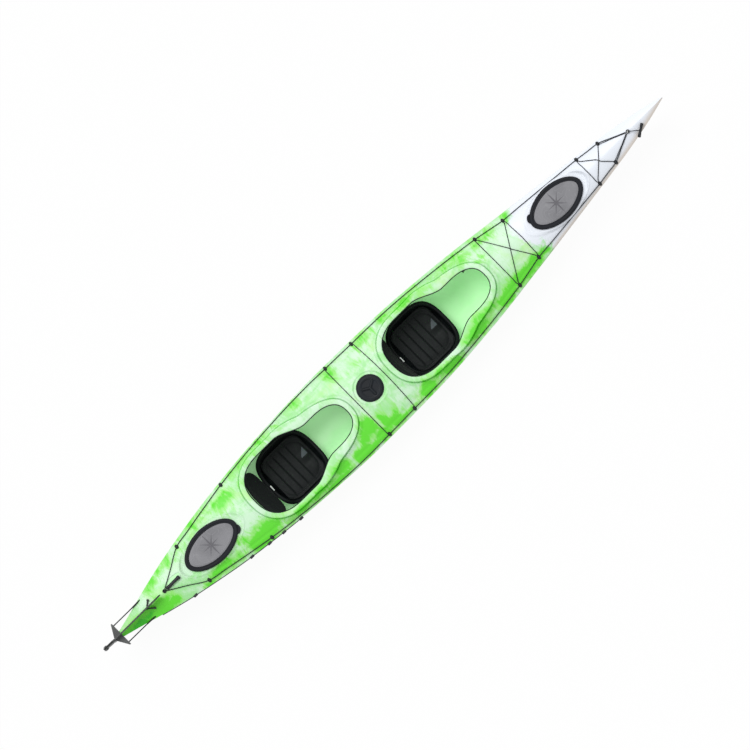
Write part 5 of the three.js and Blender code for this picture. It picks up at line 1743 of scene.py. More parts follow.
@dataclass
class OvalHatch:
    """An oval hatch: rubber cover with a rolled rim and a tab, and a grey panel with a star."""

    finishes: Finishes
    end: End
    x: float
    seat: float
    tab_end: int
    half_length: float = 0.24
    half_width: float = 0.1395
    panel_length: float = 0.2035
    panel_width: float = 0.103
    mouth_length: float = 0.2123
    mouth_width: float = 0.1118
    power: float = 1.88
    tab: Point = (0.214, 0.05, 0.026)
    tab_turn: float = math.radians(55)
    tab_stretch: float = 1.35
    panel_lift: float = 0.0225
    panel_crown: float = 0.0038
    panel_under: float = 0.0184
    rays: Sequence[float] = (0.16, 0.084, 0.096, 0.084)

    def loop(self, angle: Array, a: Array, b: Array) -> tuple[Array, Array]:
        """Points of the hatch's oval at half-sizes a and b."""
        along, across = super_oval(angle, self.power)
        return self.x + a * along, b * across

    def build_cover(self) -> None:
        """The rubber cover's swept rim and its pull tab."""
        a, b = self.half_length, self.half_width
        rows = [
            (0, 0.0006), (0.0004, 0.006), (0.0002, 0.012), (-0.0012, 0.0172), (-0.0045, 0.0216),
            (-0.01, 0.0242), (-0.0165, 0.025), (-0.0215, 0.0242), (-0.024, 0.0222), (-0.0262, 0.0214),
            (-0.0285, 0.0224), (-0.0315, 0.0234), (-0.0342, 0.0228), (-0.0355, 0.0205), (-0.0362, 0.0176),
            (-0.044, 0.0172)
        ]

        def shape(u: Array, v: Array) -> Array:
            """The rim from its outer foot over the roll to the panel's edge, and back underneath."""
            k = np.rint(v * (len(rows) + 4)).astype(int)
            under = [
                (a - 0.044, b - 0.044, 0.0148), (self.mouth_length, self.mouth_width, 0.0148),
                (self.mouth_length, self.mouth_width, 0.0006), (a - 0.003, b - 0.003, 0.0004),
                (a, b, 0.0006)
            ]
            path = np.array([*[(a + g, b + g, z) for g, z in rows], *under])[k]
            x, y = self.loop(2 * np.pi * u, path[:, 0], path[:, 1])
            return np.column_stack((x, y, self.seat + path[:, 2]))

        bm = warped_grid(180, len(rows) + 4, shape)
        weld(bm)
        along, across, radius = self.tab
        centre = (self.x + self.tab_end * along, -self.tab_end * across, self.seat)
        profile = (
            (0, 0.0045), (radius * 0.86, 0.0045), (radius * 0.98, 0.006), (radius, 0.01),
            (radius * 0.97, 0.0135), (radius * 0.88, 0.0158), (radius * 0.72, 0.0158),
            (radius * 0.6, 0.0138), (radius * 0.3, 0.0134), (0, 0.0134)
        )
        name = f"{self.end.value}_hatch_cover"
        knob = spun(profile, (0, 0, 0), 40)
        for vert in knob.verts:
            vert.co.x *= self.tab_stretch
        bmesh.ops.rotate(
            knob, verts=knob.verts, cent=(0, 0, 0), matrix=Matrix.Rotation(self.tab_turn, 3, "Z")
        )
        bmesh.ops.translate(knob, verts=knob.verts, vec=Vector(centre))
        whole = merged([bm, knob])
        role = Role(f"{self.end.value}_hatch", Slot.RUBBER, (name,))
        publish(whole, f"{name}_rubber", self.finishes.rubber, role, 50)

    def panel_z(self, radius: Array) -> Array:
        """The panel's crowned height at a share of its radius."""
        crown = self.panel_crown * (1 - radius**2.4) - 0.0018 * smoothstep(radius, 0.93, 1)
        return self.seat + self.panel_lift + crown

    def build_panel(self) -> None:
        """The grey panel: crowned, with a fine raised border."""
        rows = np.concatenate(([0.0], np.linspace(0.03, 0.9, 26), [0.93, 0.955, 0.975, 0.99, 1.0]))

        def shape(u: Array, v: Array) -> Array:
            """The panel's top, edge and underside."""
            k = np.rint(v * (len(rows) + 1)).astype(int)
            radius = np.append(rows, [1.0, 0.0])[k]
            x, y = self.loop(2 * np.pi * u, self.panel_length * radius, self.panel_width * radius)
            border = 0.0008 * bell(radius, 0.9, 0.02)
            z = np.where(k < len(rows), self.panel_z(radius) + border, self.seat + self.panel_under)
            return np.column_stack((x, y, z))

        bm = warped_grid(160, len(rows) + 1, shape)
        weld(bm)
        name = f"{self.end.value}_hatch_panel"
        role = Role(f"{self.end.value}_hatch", Slot.PANEL, (name,))
        publish(bm, f"{name}_top", self.finishes.panel, role, 50)

    def build_star(self) -> None:
        """The compass star: eight slim rays moulded on the panel."""
        parts = []
        for i in range(8):
            length = self.rays[i % 4]
            ray = bmesh.new()
            bmesh.ops.create_cone(
                ray, cap_ends=True, segments=4, radius1=0.0092, radius2=0.0004, depth=length
            )
            bmesh.ops.translate(ray, verts=ray.verts, vec=(0, 0, length / 2))
            turn = i * math.pi / 4
            turn_to(ray, (math.cos(turn), math.sin(turn), 0), (self.x, 0, 0))
            for vert in ray.verts:
                share = min(1.0, abs(vert.co.x - self.x) / self.panel_length)
                vert.co.z = float(self.panel_z(np.array(share))) - 0.0003 + vert.co.z * 0.2
            parts.append(ray)
        role = Role(f"{self.end.value}_hatch", Slot.PANEL)
        publish(merged(parts), f"{self.end.value}_compass_star", self.finishes.star, role, 20)

    def build(self) -> None:
        """Builds the hatch."""
        self.build_cover()
        self.build_panel()
        self.build_star()


@dataclass
class ScrewHatch:
    """The round screw hatch: flanged frame and a lid with a three-armed grip."""

    finishes: Finishes
    x: float
    seat: float
    flange: float = 0.102
    lid: float = 0.091
    arm: float = 0.064
    arm_half: float = 0.0062
    face: float = 0.0137
    arm_height: float = 0.006
    pocket: float = 0.0026
    screws: int = 8
    screw_circle: float = 0.0965
    frame_top: float = 0.0043

    def build_frame(self) -> None:
        """The flanged frame with its screw heads."""
        profile = (
            (0.077, -0.022), (0.0815, -0.022), (0.0815, 0.0003), (self.flange - 0.0005, 0.0003),
            (self.flange, 0.001), (self.flange, 0.003), (self.flange - 0.0007, 0.004),
            (self.flange - 0.002, 0.0043), (0.0785, 0.0043), (0.077, 0.0035), (0.077, -0.022)
        )
        parts = [spun(profile, (self.x, 0, self.seat), 120)]
        r = self.screw_circle
        for i in range(self.screws):
            angle = math.pi * (2 * i + 1) / self.screws
            at = (self.x + r * math.cos(angle), r * math.sin(angle), self.seat + self.frame_top)
            parts.append(spun(((0, 0.0013), (0.0018, 0.0011), (0.003, 0.0004), (0.0032, -0.0002)), at, 14))
        role = Role("hull", Slot.BLACK, ("round_hatch_frame",))
        publish(merged(parts), "screw_frame", self.finishes.lid, role, 50)

    def lid_height(self, x: Array, y: Array) -> Array:
        """The lid's relief: a domed top with three arms and three pockets."""
        radius = np.hypot(x, y)
        best = np.full(len(x), 1.0)
        for i in range(3):
            angle = -np.pi / 2 + 2 * np.pi * i / 3
            along = x * np.cos(angle) + y * np.sin(angle)
            side = np.abs(-x * np.sin(angle) + y * np.cos(angle))
            gap = np.hypot(np.maximum(0, along - self.arm + 0.006), side)
            gap = np.where(along < 0, radius, gap)
            best = np.minimum(best, gap)
        arm = 1 - smoothstep(best, self.arm_half - 0.002, self.arm_half + 0.003)
        hollow = smoothstep(best, self.arm_half + 0.003, self.arm_half + 0.009)
        hollow = hollow * (1 - smoothstep(radius, 0.06, 0.068))
        step = smoothstep(radius, 0.0875, 0.091)
        ring = 0.0012 * bell(radius, 0.076, 0.003)
        relief = self.face + self.arm_height * arm - self.pocket * hollow * (1 - arm)
        return relief + ring - 0.0025 * step

    def build_lid(self) -> None:
        """The lid, with its relief, skirt and plug."""
        rows = np.concatenate((np.linspace(0, 0.074, 44), np.linspace(0.0765, self.lid, 10)))
        under = [
            (self.lid, 0.0047), (0.0755, 0.0047), (0.0755, -0.016), (0.071, -0.016), (0.071, 0.006),
            (0.0, 0.006)
        ]

        def shape(u: Array, v: Array) -> Array:
            """The lid's face, edge and underside."""
            k = np.rint(v * (len(rows) + len(under) - 1)).astype(int)
            radius = np.append(rows, [r for r, _ in under])[k]
            x, y = radius * np.cos(2 * np.pi * u), radius * np.sin(2 * np.pi * u)
            low = np.append(np.zeros(len(rows)), [z for _, z in under])[k]
            z = np.where(k < len(rows), self.lid_height(x, y), low)
            return np.column_stack((self.x + x, y, self.seat + z))

        bm = warped_grid(216, len(rows) + len(under) - 1, shape)
        weld(bm)
        role = Role("screw_lid", Slot.BLACK, ("round_hatch_lid",))
        publish(bm, "screw_lid_top", self.finishes.lid, role, 60)

    def build(self) -> None:
        """Builds the screw hatch."""
        self.build_frame()
        self.build_lid()


# Deck rigging


@dataclass
class Rigging:
    """Fittings, eyes, deck lines, elastic cords and carry toggles."""

    finishes: Finishes
    shares: Table = (
        (0.1321, 0.833), (0.2301, 0.93), (0.4355, 0.942), (0.4827, 0.935), (0.6952, 0.879),
        (0.7386, 0.795), (0.8633, 0.843), (0.8978, 0.797)
    )
    fitting_half: float = 0.016
    line_radius: float = 0.0033
    line_lift: float = 0.006
    elastic: float = 0.003
    low: float = 0.0042
    eye_shares: tuple[float, float] = (0.0803, 0.9366)
    eye_radius: float = 0.013
    ring: float = 0.012
    wire: float = 0.0035
    ring_lift: float = 0.007
    loop_radius: float = 0.003
    line_pitch: float = 0.15
    deck_pitch: float = 0.055
    bow_pivot: Point = (2.4852, 0, 0.418)

    def __post_init__(self) -> None:
        """Works out where the fittings and eyes stand."""
        places = [LINES.x_at(s) for s, _ in self.shares]
        self.fittings = [(x, across * float(LINES.half(x))) for x, (_, across) in zip(places, self.shares)]
        self.stern_eye, self.bow_eye = (LINES.x_at(s) for s in self.eye_shares)

    def cord(self, name: str, path: Array, radius: float, role: Role) -> None:
        """A cord along a path, declared with its real length.

        Args:
            name: The piece's name.
            path: Its points.
            radius: Its radius.
            role: Its body, slot and solids.
        """
        piece = publish(swept(path, radius, 10), name, self.finishes.cord, role)
        length = path_length(path)
        if length >= max(0.03, 12 * radius):
            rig.cord(
                piece, exit=path[0], length=round(length, 4), diameter=2 * radius, far_end="object",
                stiffness="limp", lay="taut", path=path
            )

    def deck_line_path(self, side: int) -> Array:
        """The perimeter line's route through all the fittings."""
        points = [LINES.on_deck(self.stern_eye + 0.013, side * 0.00975, self.line_lift + 0.002)]
        for i, (x, y) in enumerate(self.fittings):
            before = (self.stern_eye, 0.0) if i == 0 else self.fittings[i - 1]
            parts = max(2, round((x - before[0]) / self.line_pitch))
            for k in range(1, parts):
                t = k / parts
                bow = before[0] + (x - before[0]) * t
                out = before[1] + (y - before[1]) * t
                if i:
                    held = self.shares[i - 1][1] * (1 - t) + self.shares[i][1] * t
                    held += 0.026 * math.sin(math.pi * t) * (i in (2, 4))
                    out = max(out, held * float(LINES.half(bow)))
                points.append(LINES.on_deck(bow, side * out, self.line_lift))
            points.append(LINES.on_deck(x, side * y, self.line_lift))
        last = self.fittings[-1]
        points.append(LINES.on_deck((last[0] + self.bow_eye) / 2, side * last[1] / 2, self.line_lift))
        points.append(LINES.on_deck(self.bow_eye - 0.0165, side * 0.0065, self.line_lift + 0.002))
        return smooth_path(points, 0.014)

    def hugging(self, points: Sequence[Sequence[float]], step: float = 0.012) -> Array:
        """A cord's route over the deck through plan points, each with an extra lift."""
        full = []
        for i, point in enumerate(points):
            x, y, lift = (*point, 0.0)[:3]
            nx, ny, next_lift = (*points[min(i + 1, len(points) - 1)], 0.0)[:3]
            parts = max(1, round(math.hypot(nx - x, ny - y) / self.deck_pitch))
            for k in range(parts):
                t = k / parts
                over = self.low + lift + (next_lift - lift) * t
                full.append(LINES.on_deck(x + (nx - x) * t, y + (ny - y) * t, over))
        return smooth_path(full, step)

    def crossed(self, aft: int, fore: int, closed: bool) -> Array:
        """One elastic cord laced to and fro between two pairs of fittings."""
        (ax, ay), (fx, fy) = self.fittings[aft], self.fittings[fore]
        a, f, loop, hump = ay - 0.012, fy - 0.012, 0.007, 0.0075
        middle = ((ax * f + fx * a) / (a + f), 0.0)
        if closed:
            route = [
                (ax - loop, a), (ax - loop, a / 2), (ax - loop, -a / 2), (ax - loop, loop - a), (ax, -a),
                (ax + loop, 2 * loop - a), middle, (fx - loop, f - 2 * loop), (fx, f),
                (fx + loop, f - loop), (fx + 2 * loop, 0), (fx + loop, loop - f), (fx, -f),
                (fx - loop, 2 * loop - f), (middle[0] + loop, -loop * 2, hump / 2), (*middle, hump),
                (middle[0] - loop, loop * 2, hump / 2), (ax + 2 * loop, a - 2 * loop),
                (ax + loop, a - 0.001)
            ]
        else:
            route = [
                (fx - loop, f), middle, (ax + loop, 2 * loop - a), (ax, -a), (ax - loop, loop - a),
                (ax - loop, 0), (ax - loop, a - loop), (ax, a), (ax + loop, a - 2 * loop),
                (middle[0] - loop, loop * 2, hump / 2), (*middle, hump),
                (middle[0] + loop, -loop * 2, hump / 2), (fx - loop, -f)
            ]
        return self.hugging(route)

    def build_lines(self) -> None:
        """The perimeter lines, cross lines and elastic cords."""
        for side in Side:
            role = Role("hull", Slot.CORD, (f"deck_line_{side.label}",))
            path = self.deck_line_path(side.value)
            self.cord(f"perimeter_line_{side.label}", path, self.line_radius, role)
        for name, index, hook, bulge in (("aft", 2, -0.009, 0.0), ("fore", 3, 0.009, 0.014)):
            x, y = self.fittings[index]
            end = y - self.fitting_half + 0.006
            row = [(x + hook + bulge * (1 - t * t), end * t) for t in (-1, -0.66, -0.33, 0, 0.33, 0.66, 1)]
            role = Role("hull", Slot.CORD, (f"cross_line_{name}",))
            self.cord(f"deck_cross_line_{name}", self.hugging(row), self.elastic, role)
        for name, aft, fore, closed in (("foredeck", 4, 5, True), ("bow", 6, 7, False)):
            role = Role("hull", Slot.CORD, (f"{name}_bungee",))
            self.cord(f"{name}_elastic", self.crossed(aft, fore, closed), self.elastic, role)

    def build_fitting(self, index: int, side: Side) -> None:
        """A domed saddle with its foot and two screw heads."""
        x, y = self.fittings[index]
        y *= side.value
        dome = bmesh.new()
        bmesh.ops.create_uvsphere(dome, u_segments=28, v_segments=16, radius=1)
        for vert in dome.verts:
            height = max(-0.2, vert.co.z) * 0.0135 + 0.0012
            vert.co = Vector((vert.co.x * 0.0108, vert.co.y * 0.0165, height))
        sole = (
            (0, 0.0032), (0.0168, 0.0032), (0.0192, 0.0026), (0.02, 0.0012), (0.02, -0.0012), (0, -0.0012)
        )
        foot = spun(sole, (0, 0, 0), 40)
        for vert in foot.verts:
            vert.co.x *= 0.66
        screw = ((0, 0.0044), (0.0014, 0.0042), (0.0023, 0.0034), (0.0023, 0.002))
        screws = [spun(screw, (0, end * 0.0172, 0), 12) for end in (-1, 1)]
        bm = merged([dome, foot, *screws])
        turn_to(bm, LINES.normal(x, y), LINES.on_deck(x, y))
        name = f"fitting_{index + 1}_{side.label}"
        publish(bm, f"{name}_saddle", self.finishes.black, Role("hull", Slot.BLACK, (name,)), 50)

    def build_eye(self, name: str, x: float) -> None:
        """An eye: domed base with a ring."""
        z = float(LINES.deck_z(x, 0))
        r = self.eye_radius
        dome = ((0, 0.0038), (r * 0.7, 0.0038), (r * 0.93, 0.003), (r, 0.0018), (r, -0.003))
        base = spun(dome, (x, 0, z), 36)
        ring = bmesh.new()
        circle = bmesh.ops.create_circle(ring, segments=14, radius=self.wire)["verts"]
        bmesh.ops.rotate(ring, verts=circle, cent=(0, 0, 0), matrix=Matrix.Rotation(math.pi / 2, 3, "X"))
        bmesh.ops.translate(ring, verts=circle, vec=(self.ring, 0, 0))
        bmesh.ops.spin(
            ring, geom=ring.verts[:] + ring.edges[:], axis=(0, 0, 1), cent=(0, 0, 0), angle=2 * math.pi,
            steps=48, use_merge=True, use_duplicate=False
        )
        bmesh.ops.recalc_face_normals(ring, faces=ring.faces)
        bmesh.ops.translate(ring, verts=ring.verts, vec=(x, 0, z + self.ring_lift))
        finish = self.finishes.pale if x > 0 else self.finishes.black
        publish(base, f"{name}_base", finish, Role("hull", Slot.BLACK), 50)
        publish(ring, f"{name}_ring", self.finishes.black, Role("hull", Slot.BLACK, (name,)), 50)

    def grip(self, start: Sequence[float], end: Sequence[float], profile: Table) -> Shape:
        """A turned bar between two points, from shares of its length and radii."""
        a, b = Vector(start), Vector(end)
        length = (b - a).length
        bm = spun([(r, t * length) for t, r in profile], (0, 0, 0), 36)
        turn_to(bm, b - a, a)
        return bm

    def build_bow_toggle(self) -> None:
        """The bow toggle's bar, with moulded finger grooves, and its cord."""
        start, end = (2.514, -0.088, 0.411), (2.6, -0.03, 0.431)
        profile = [
            (0, 0), (0, 0.008), (0.02, 0.0108), (0.06, 0.012), (0.15, 0.0119), (0.2, 0.0104),
            (0.25, 0.0114), (0.3, 0.0102), (0.35, 0.0096), (0.65, 0.0096), (0.7, 0.0102), (0.75, 0.0114),
            (0.8, 0.0104), (0.85, 0.0119), (0.94, 0.012), (0.98, 0.0108), (1, 0.008), (1, 0)
        ]
        role = Role("bow_toggle", Slot.BLACK, ("bow_toggle",))
        publish(self.grip(start, end, profile), "bow_toggle_bar", self.finishes.black, role)
        middle = [(p + q) / 2 for p, q in zip(start, end)]
        z = float(LINES.deck_z(self.bow_eye, 0)) + self.ring_lift + self.wire + self.loop_radius
        first = [self.bow_eye + self.ring * 0.77, -self.ring * 0.63, z]
        half_way = [(first[0] + middle[0]) / 2, (first[1] + middle[1]) / 2, z + 0.003]
        path = smooth_path([self.bow_pivot, first, half_way, middle], 0.004)
        role = Role("bow_toggle", Slot.CORD, ("bow_toggle_cord",))
        piece = publish(swept(path, self.loop_radius, 12), "bow_toggle_loop", self.finishes.cord, role)
        log.info("%s is %.3f m long", piece.name, path_length(path))

    def build_stern_toggle(self) -> None:
        """The stern toggle's bar with its knob, and its short cord."""
        z = float(LINES.deck_z(self.stern_eye, 0)) + 0.013
        x = self.stern_eye + 0.022
        profile = [
            (0, 0), (0, 0.009), (0.02, 0.0122), (0.06, 0.0136), (0.1, 0.0135), (0.13, 0.012),
            (0.16, 0.0132), (0.2, 0.0125), (0.5, 0.0127), (0.76, 0.013), (0.8, 0.0136), (0.85, 0.0145),
            (0.9, 0.0149), (0.96, 0.0145), (0.99, 0.012), (1, 0.009), (1, 0)
        ]
        bar = self.grip((x, 0, z), (x + 0.13, 0, z), profile)
        role = Role("stern_toggle", Slot.BLACK, ("stern_toggle",))
        publish(bar, "stern_toggle_bar", self.finishes.black, role)
        height = float(LINES.deck_z(self.stern_eye, 0)) + self.ring_lift + self.wire + 0.0033
        places = (self.stern_eye - 0.003, self.stern_eye + 0.006, x + 0.004)
        path = smooth_path([[place_x, 0, height] for place_x in places], 0.003)
        role = Role("stern_toggle", Slot.CORD, ("stern_toggle_cord",))
        publish(swept(path, self.loop_radius, 12), "stern_toggle_loop", self.finishes.cord, role)

    def build_doubles(self) -> None:
        """The second strand beside each line from the foremost fittings to the bow eye."""
        x, y = self.fittings[-1]
        for side in Side:
            s = side.value
            middle = ((x + self.bow_eye) / 2, s * (y / 2 - 0.006))
            points = [(x + 0.004, s * (y - 0.012)), middle, (self.bow_eye - 0.02, s * 0.003)]
            path = smooth_path([LINES.on_deck(px, py, 0.0052) for px, py in points], 0.012)
            self.cord(f"bow_strand_{side.label}", path, 0.0022, Role("hull", Slot.CORD))

    def build(self) -> None:
        """Builds the rigging."""
        self.build_lines()
        self.build_doubles()
        for index in range(len(self.fittings)):
            for side in Side:
                self.build_fitting(index, side)
        self.build_eye("stern_eye", self.stern_eye)
        self.build_eye("bow_eye", self.bow_eye)
        self.build_bow_toggle()
        self.build_stern_toggle()


# Rudder


@dataclass
class Rudder:
    """The rudder's blade, steering cables and lift line, and finer edges on its moulded parts."""

    finishes: Finishes
    rail_y: float
    rail_x: float
    pivot: tuple[float, float] = (-2.813, 0.4)
    length: float = 0.55
    chord: float = 0.095
    root: float = 0.02
    edge_shares: Table = (
        (0.06, -0.25), (0.3, -0.262), (0.62, -0.262), (0.86, -0.24), (0.965, -0.08), (1, 0.24),
        (0.97, 0.52), (0.87, 0.68), (0.68, 0.737), (0.45, 0.68), (0.24, 0.44), (0.09, 0.24)
    )
    cable_radius: float = 0.002
    sheath_radius: float = 0.0042
    guide_radii: Sequence[float] = (0.0028, 0.0052, 0.0062, 0.0056)
    swage_radius: float = 0.0046
    bend_x: tuple[float, float] = (-2.575, -2.65)
    pedal_z: float = 0.16
    wire_radius: float = 0.0014
    wire_reach: float = 0.14
    sheath_end: float = -0.5445
    lift_shares: tuple[float, float] = (0.0565, 0.2723)
    clips: Sequence[float] = (-277.0, -210.0, -188.0, -170.0, -148.0)
    clip_origin: float = 11.65
    photo_pixel: float = 0.007237
    clip: Point = (0.034, 0.019, 0.015)
    lift_radius: float = 0.003
    soft_edge: float = 0.0008

    def build_blade(self) -> None:
        """The blade: a lens-shaped section with a thin trailing edge, rounded at its root."""
        arc = [math.pi / 2 + math.pi * i / 10 for i in range(11)]
        root = [(self.root * math.cos(a), 0.0, self.root * math.sin(a)) for a in arc]
        tail = [(x * self.length, 0.0, z * self.chord) for x, z in self.edge_shares]
        loop = np.vstack((np.array(root), smooth_path([root[-1], *tail, root[0]], 0.008)[1:-1]))
        centre = np.column_stack(
            (np.clip(loop[:, 0], 0, self.length - 0.03), 0 * loop[:, 0], 0.2 * loop[:, 2] + 0.008)
        )
        levels = (
            (1, 0.0), (0.995, 0.0016), (0.97, 0.0027), (0.9, 0.0036), (0.75, 0.0043), (0.45, 0.0045),
            (0.0, 0.0045)
        )
        rows = [(s, -t) for s, t in reversed(levels)] + [(s, t) for s, t in levels[1:]]
        closed = np.vstack((loop, loop[:1]))
        hubs = np.vstack((centre, centre[:1]))

        def shape(u: Array, v: Array) -> Array:
            """The blade's two faces from its spine out to its edge."""
            i = np.rint(u * (len(closed) - 1)).astype(int)
            share, y = np.array(rows)[np.rint(v * (len(rows) - 1)).astype(int)].T
            flat = hubs[i] + (closed[i] - hubs[i]) * share[:, None]
            return np.column_stack((self.pivot[0] + flat[:, 0], y, self.pivot[1] + flat[:, 2]))

        bm = warped_grid(len(closed) - 1, len(rows) - 1, shape)
        bmesh.ops.remove_doubles(bm, verts=bm.verts, dist=2e-5)
        close_ends(bm)
        role = Role("rudder_blade", Slot.BLACK, ("rudder_blade",))
        publish(bm, "rudder_blade_foil", self.finishes.rudder, role, 50)

    def cable_path(self, side: int) -> Array:
        """A steering cable's route from the yoke to the pedal."""
        route = [
            (-2.6637, 0.08, 0.3693), (-2.56, 0.08, 0.357), (-2.436, 0.081, 0.341), (-2.38, 0.084, 0.326),
            (-2.2, 0.118, 0.3), (-1.9, 0.178, 0.272), (-1.62, 0.222, 0.252), (-1.37, 0.252, 0.234),
            (-1.000, 0.3, 0.2), (-0.8, self.rail_y + 0.003, 0.168)
        ]
        route += [(x, self.rail_y, self.pedal_z) for x in (-0.71, -0.68, -0.62, -0.56, self.sheath_end)]
        return smooth_path([(x, side * y, z) for x, y, z in route], 0.006)

    def build_cables(self) -> None:
        """The steering cables, each with a swage at the yoke and a guide where it enters the deck."""
        for side in Side:
            name = side.label
            path = self.cable_path(side.value)
            start, end = ((x, path[0][1], path[0][2]) for x in self.bend_x)
            bend = ("rudder_head", start, end)
            role = Role("hull", Slot.CORD, (f"steering_cable_{name}",), bend)
            sheath = np.where(path[:, 0] < -2.42, self.sheath_radius, self.cable_radius)
            cable = publish(swept(path, sheath, 12), f"rudder_cable_{name}", self.finishes.cord, role)
            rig.cord(
                cable, exit=path[0], length=round(path_length(path), 4), diameter=2 * self.cable_radius,
                far_end="object", stiffness="medium", lay="taut", path=path
            )
            near = path[(path[:, 0] > -2.5) & (path[:, 0] < -2.37)]
            radii = np.interp(np.linspace(0, 1, len(near)), [0, 0.15, 0.7, 1], self.guide_radii)
            guide = swept(near, radii, 16)
            publish(guide, f"cable_guide_{name}", self.finishes.black, Role("hull", Slot.BLACK))
            ahead, y = self.rail_x - 0.0303, side.value * self.rail_y
            wire = np.array([[x, y, self.pedal_z] for x in (ahead, ahead - self.wire_reach)])
            role = Role(f"rear_pedal_{name}", Slot.STEEL)
            publish(swept(wire, self.wire_radius, 10), f"pedal_wire_{name}", self.finishes.steel, role)
            swage = swept(path[path[:, 0] < -2.644], self.swage_radius, 14)
            publish(swage, f"cable_swage_{name}", self.finishes.black, Role("rudder_head", Slot.BLACK))

    def beside(self, x: float, out: float, down: float) -> Point:
        """A point beside the starboard gunwale."""
        return (x, -(float(LINES.half(x)) + out), float(LINES.sheer_z(x)) - down)

    def build_lift_line(self) -> None:
        """The lift line along the starboard gunwale, in its clips."""
        places = [LINES.x_at(s) for s in np.linspace(*self.lift_shares, 24)]
        path = smooth_path([self.beside(x, 0.0034, 0.001) for x in places], 0.016)
        role = Role("hull", Slot.CORD, ("lift_line",))
        piece = publish(swept(path, self.lift_radius, 10), "blade_lift_line", self.finishes.cord, role)
        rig.cord(
            piece, exit=path[0], length=round(path_length(path), 4), diameter=0.004, far_end="object",
            stiffness="limp", lay="taut", path=path
        )
        for i, s in enumerate(self.clips):
            x = max((s - self.clip_origin) * self.photo_pixel, places[0] + 0.02)
            clip = soft_block(self.clip, self.beside(x, 0.0028, 0.002), 0.003)
            publish(clip, f"lift_clip_{i + 1}", self.finishes.black, Role("hull", Slot.BLACK))

    def refine(self) -> None:
        """Softens the edges of the moulded parts that keep their solids, and gives each its finish."""
        looks = {
            "rudder_head": self.finishes.rudder, "rudder_yoke": self.finishes.rudder,
            "stern_bracket": self.finishes.rudder, "rudder_chock": self.finishes.black,
            "rudder_pin": self.finishes.steel, "blade_bolt": self.finishes.steel,
            "round_hatch_seal": self.finishes.rubber,
            **{f"{e.value}_pedal_{s.label}": self.finishes.black for e in End for s in Side},
            **{f"bulkhead_{n}": self.finishes.foam for n in ("bow", "front", "rear", "stern")}
        }
        for name, material in looks.items():
            node = frame["nodes"][name]
            for slot in node.material_slots:
                slot.material = material
            if not node.material_slots:
                log.warning("%s has no material slot", name)
            if name.startswith("bulkhead"):
                continue
            weld = node.modifiers.new("merge", "WELD")
            weld.merge_threshold = 2e-5
            bevel = node.modifiers.new("soft_edges", "BEVEL")
            bevel.width = self.soft_edge
            bevel.segments = 2
            bevel.limit_method = "ANGLE"
            bevel.angle_limit = math.radians(40)

    def build_hubs(self) -> None:
        """The round caps on the head's two cheeks, over the blade's bolt."""
        profile = (
            (0, 0.0048), (0.0065, 0.0048), (0.0085, 0.0036), (0.0135, 0.0034), (0.0155, 0.0022),
            (0.016, 0.0), (0, 0.0)
        )
        parts = []
        for side in (-1, 1):
            cap = spun(profile, (0, 0, 0), 36)
            turn_to(cap, (0, side, 0), (self.pivot[0], side * 0.0125, self.pivot[1]))
            parts.append(cap)
        publish(merged(parts), "pivot_caps", self.finishes.rudder, Role("rudder_head", Slot.BLACK), 40)

    def build(self) -> None:
        """Builds the rudder's fine pieces."""
        self.build_blade()
        self.build_hubs()
        self.build_cables()
        self.build_lift_line()
        self.refine()


# Studio


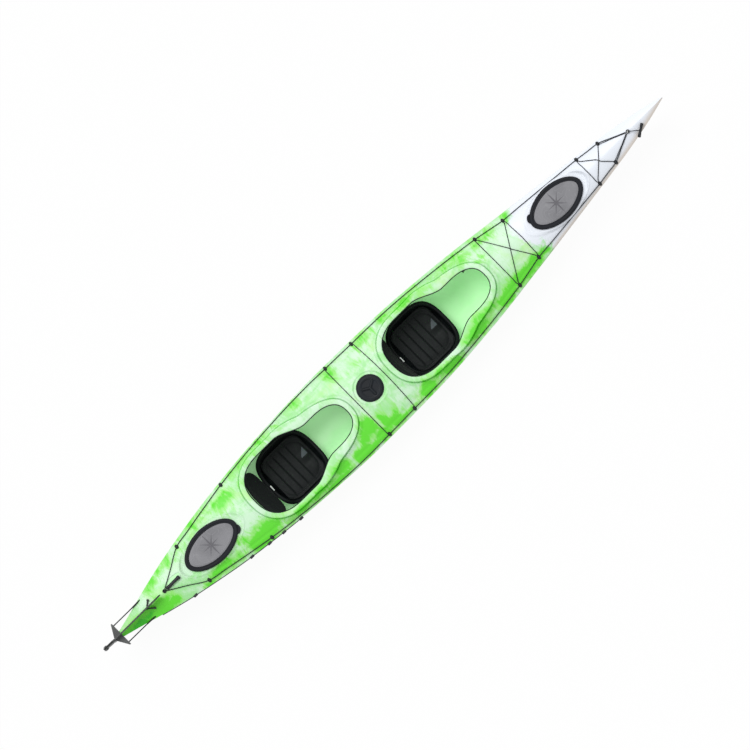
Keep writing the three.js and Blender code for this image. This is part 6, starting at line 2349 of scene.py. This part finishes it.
@dataclass
class Studio:
    """White floor, soft light from port and a long lens looking down."""

    centre: Point = (-0.0467, 0.0432, 0.3)
    width: float = 5.428
    distance: float = 40.0
    tilt: float = 4.0
    sensor: float = 36.0
    up: Point = (0.703, 0.7112, 0.0)
    sun_strength: float = 1.75
    sun_spread: float = math.radians(35)
    sun_from: Point = (-0.12, 0.5, 1.0)
    sky: float = 0.58

    def build_camera(self) -> None:
        """The camera at the photograph's angle."""
        data = bpy.data.cameras.new("camera")
        camera = bpy.data.objects.new("camera", data)
        bpy.context.scene.collection.objects.link(camera)
        tilt = math.radians(self.tilt)
        back = Vector((0, -math.sin(tilt), math.cos(tilt)))
        side = Vector(self.up).cross(back).normalized()
        up = back.cross(side)
        turn = Matrix((side, up, back)).transposed().to_4x4()
        camera.matrix_world = Matrix.Translation(Vector(self.centre) + back * self.distance) @ turn
        data.sensor_width = self.sensor
        data.lens = self.sensor * self.distance / self.width
        data.clip_end = 120
        bpy.context.scene.camera = camera

    def build_lights(self) -> None:
        """A broad soft sun from port, and an even white sky."""
        data = bpy.data.lights.new("window", "SUN")
        data.energy = self.sun_strength
        data.angle = self.sun_spread
        lamp = bpy.data.objects.new("window", data)
        bpy.context.scene.collection.objects.link(lamp)
        lamp.rotation_euler = Vector(self.sun_from).to_track_quat("Z", "Y").to_euler()
        world = bpy.data.worlds.new("studio")
        bpy.context.scene.world = world
        world.use_nodes = True
        w = Wiring(world.node_tree)
        w.tree.nodes.clear()
        strength = w.maths("MULTIPLY_ADD", w.seen(), 1 - self.sky, self.sky)
        shine = w.node("ShaderNodeBackground", {"Color": (1, 1, 1, 1), "Strength": strength})
        w.node("ShaderNodeOutputWorld", {"Surface": shine.outputs[0]})

    def build_floor(self) -> None:
        """The floor: white where it is seen, and still holding the boat's shadow."""
        bm = bmesh.new()
        bmesh.ops.create_grid(bm, x_segments=1, y_segments=1, size=30)
        mesh = bpy.data.meshes.new("floor")
        bm.to_mesh(mesh)
        bm.free()
        material = bpy.data.materials.new("floor_white")
        material.use_nodes = True
        w = Wiring(material.node_tree)
        w.tree.nodes.clear()
        plain = w.node("ShaderNodeBsdfDiffuse", {"Color": (0.86, 0.86, 0.86, 1)})
        glow = w.node("ShaderNodeEmission", {"Color": (1, 1, 1, 1), "Strength": 1.0})
        share = w.maths("MULTIPLY", w.seen(), 0.95)
        both = w.node("ShaderNodeMixShader", {0: share, 1: plain.outputs[0], 2: glow.outputs[0]})
        w.node("ShaderNodeOutputMaterial", {"Surface": both.outputs[0]})
        mesh.materials.append(material)
        floor = bpy.data.objects.new("floor", mesh)
        bpy.context.scene.collection.objects.link(floor)
        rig.stage(floor)

    def build(self) -> None:
        """Builds the studio."""
        self.build_camera()
        self.build_lights()
        self.build_floor()
        bpy.context.scene.view_settings.view_transform = "Standard"


def main() -> None:
    """Builds the studio and the boat, and notes the model's box."""
    logging.basicConfig(level=logging.INFO, format="%(name)s: %(message)s")
    Studio().build()
    finishes = Finishes()
    hull = Hull(finishes)
    Rigging(finishes).build()
    Rudder(finishes, hull.rail_y(hull.rail_x[0]), hull.rail_x[0]).build()
    hull.build()
    Cockpit(finishes, End.FRONT, 0.3862, 15).build()
    Cockpit(finishes, End.REAR, -0.942, 40).build()
    OvalHatch(finishes, End.FRONT, hull.hatch_x[End.FRONT], hull.seat_z(End.FRONT), -1).build()
    OvalHatch(finishes, End.REAR, hull.hatch_x[End.REAR], hull.seat_z(End.REAR), 1).build()
    ScrewHatch(finishes, hull.screw_x, hull.screw_seat_z()).build()
    bpy.context.view_layer.update()
    boxes = {"cad": CAD_BOX, "visual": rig.bounds()}
    with open("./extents.json", "w") as out:
        json.dump({name: [list(corner) for corner in box] for name, box in boxes.items()}, out)


if __name__ == "__main__":
    main()
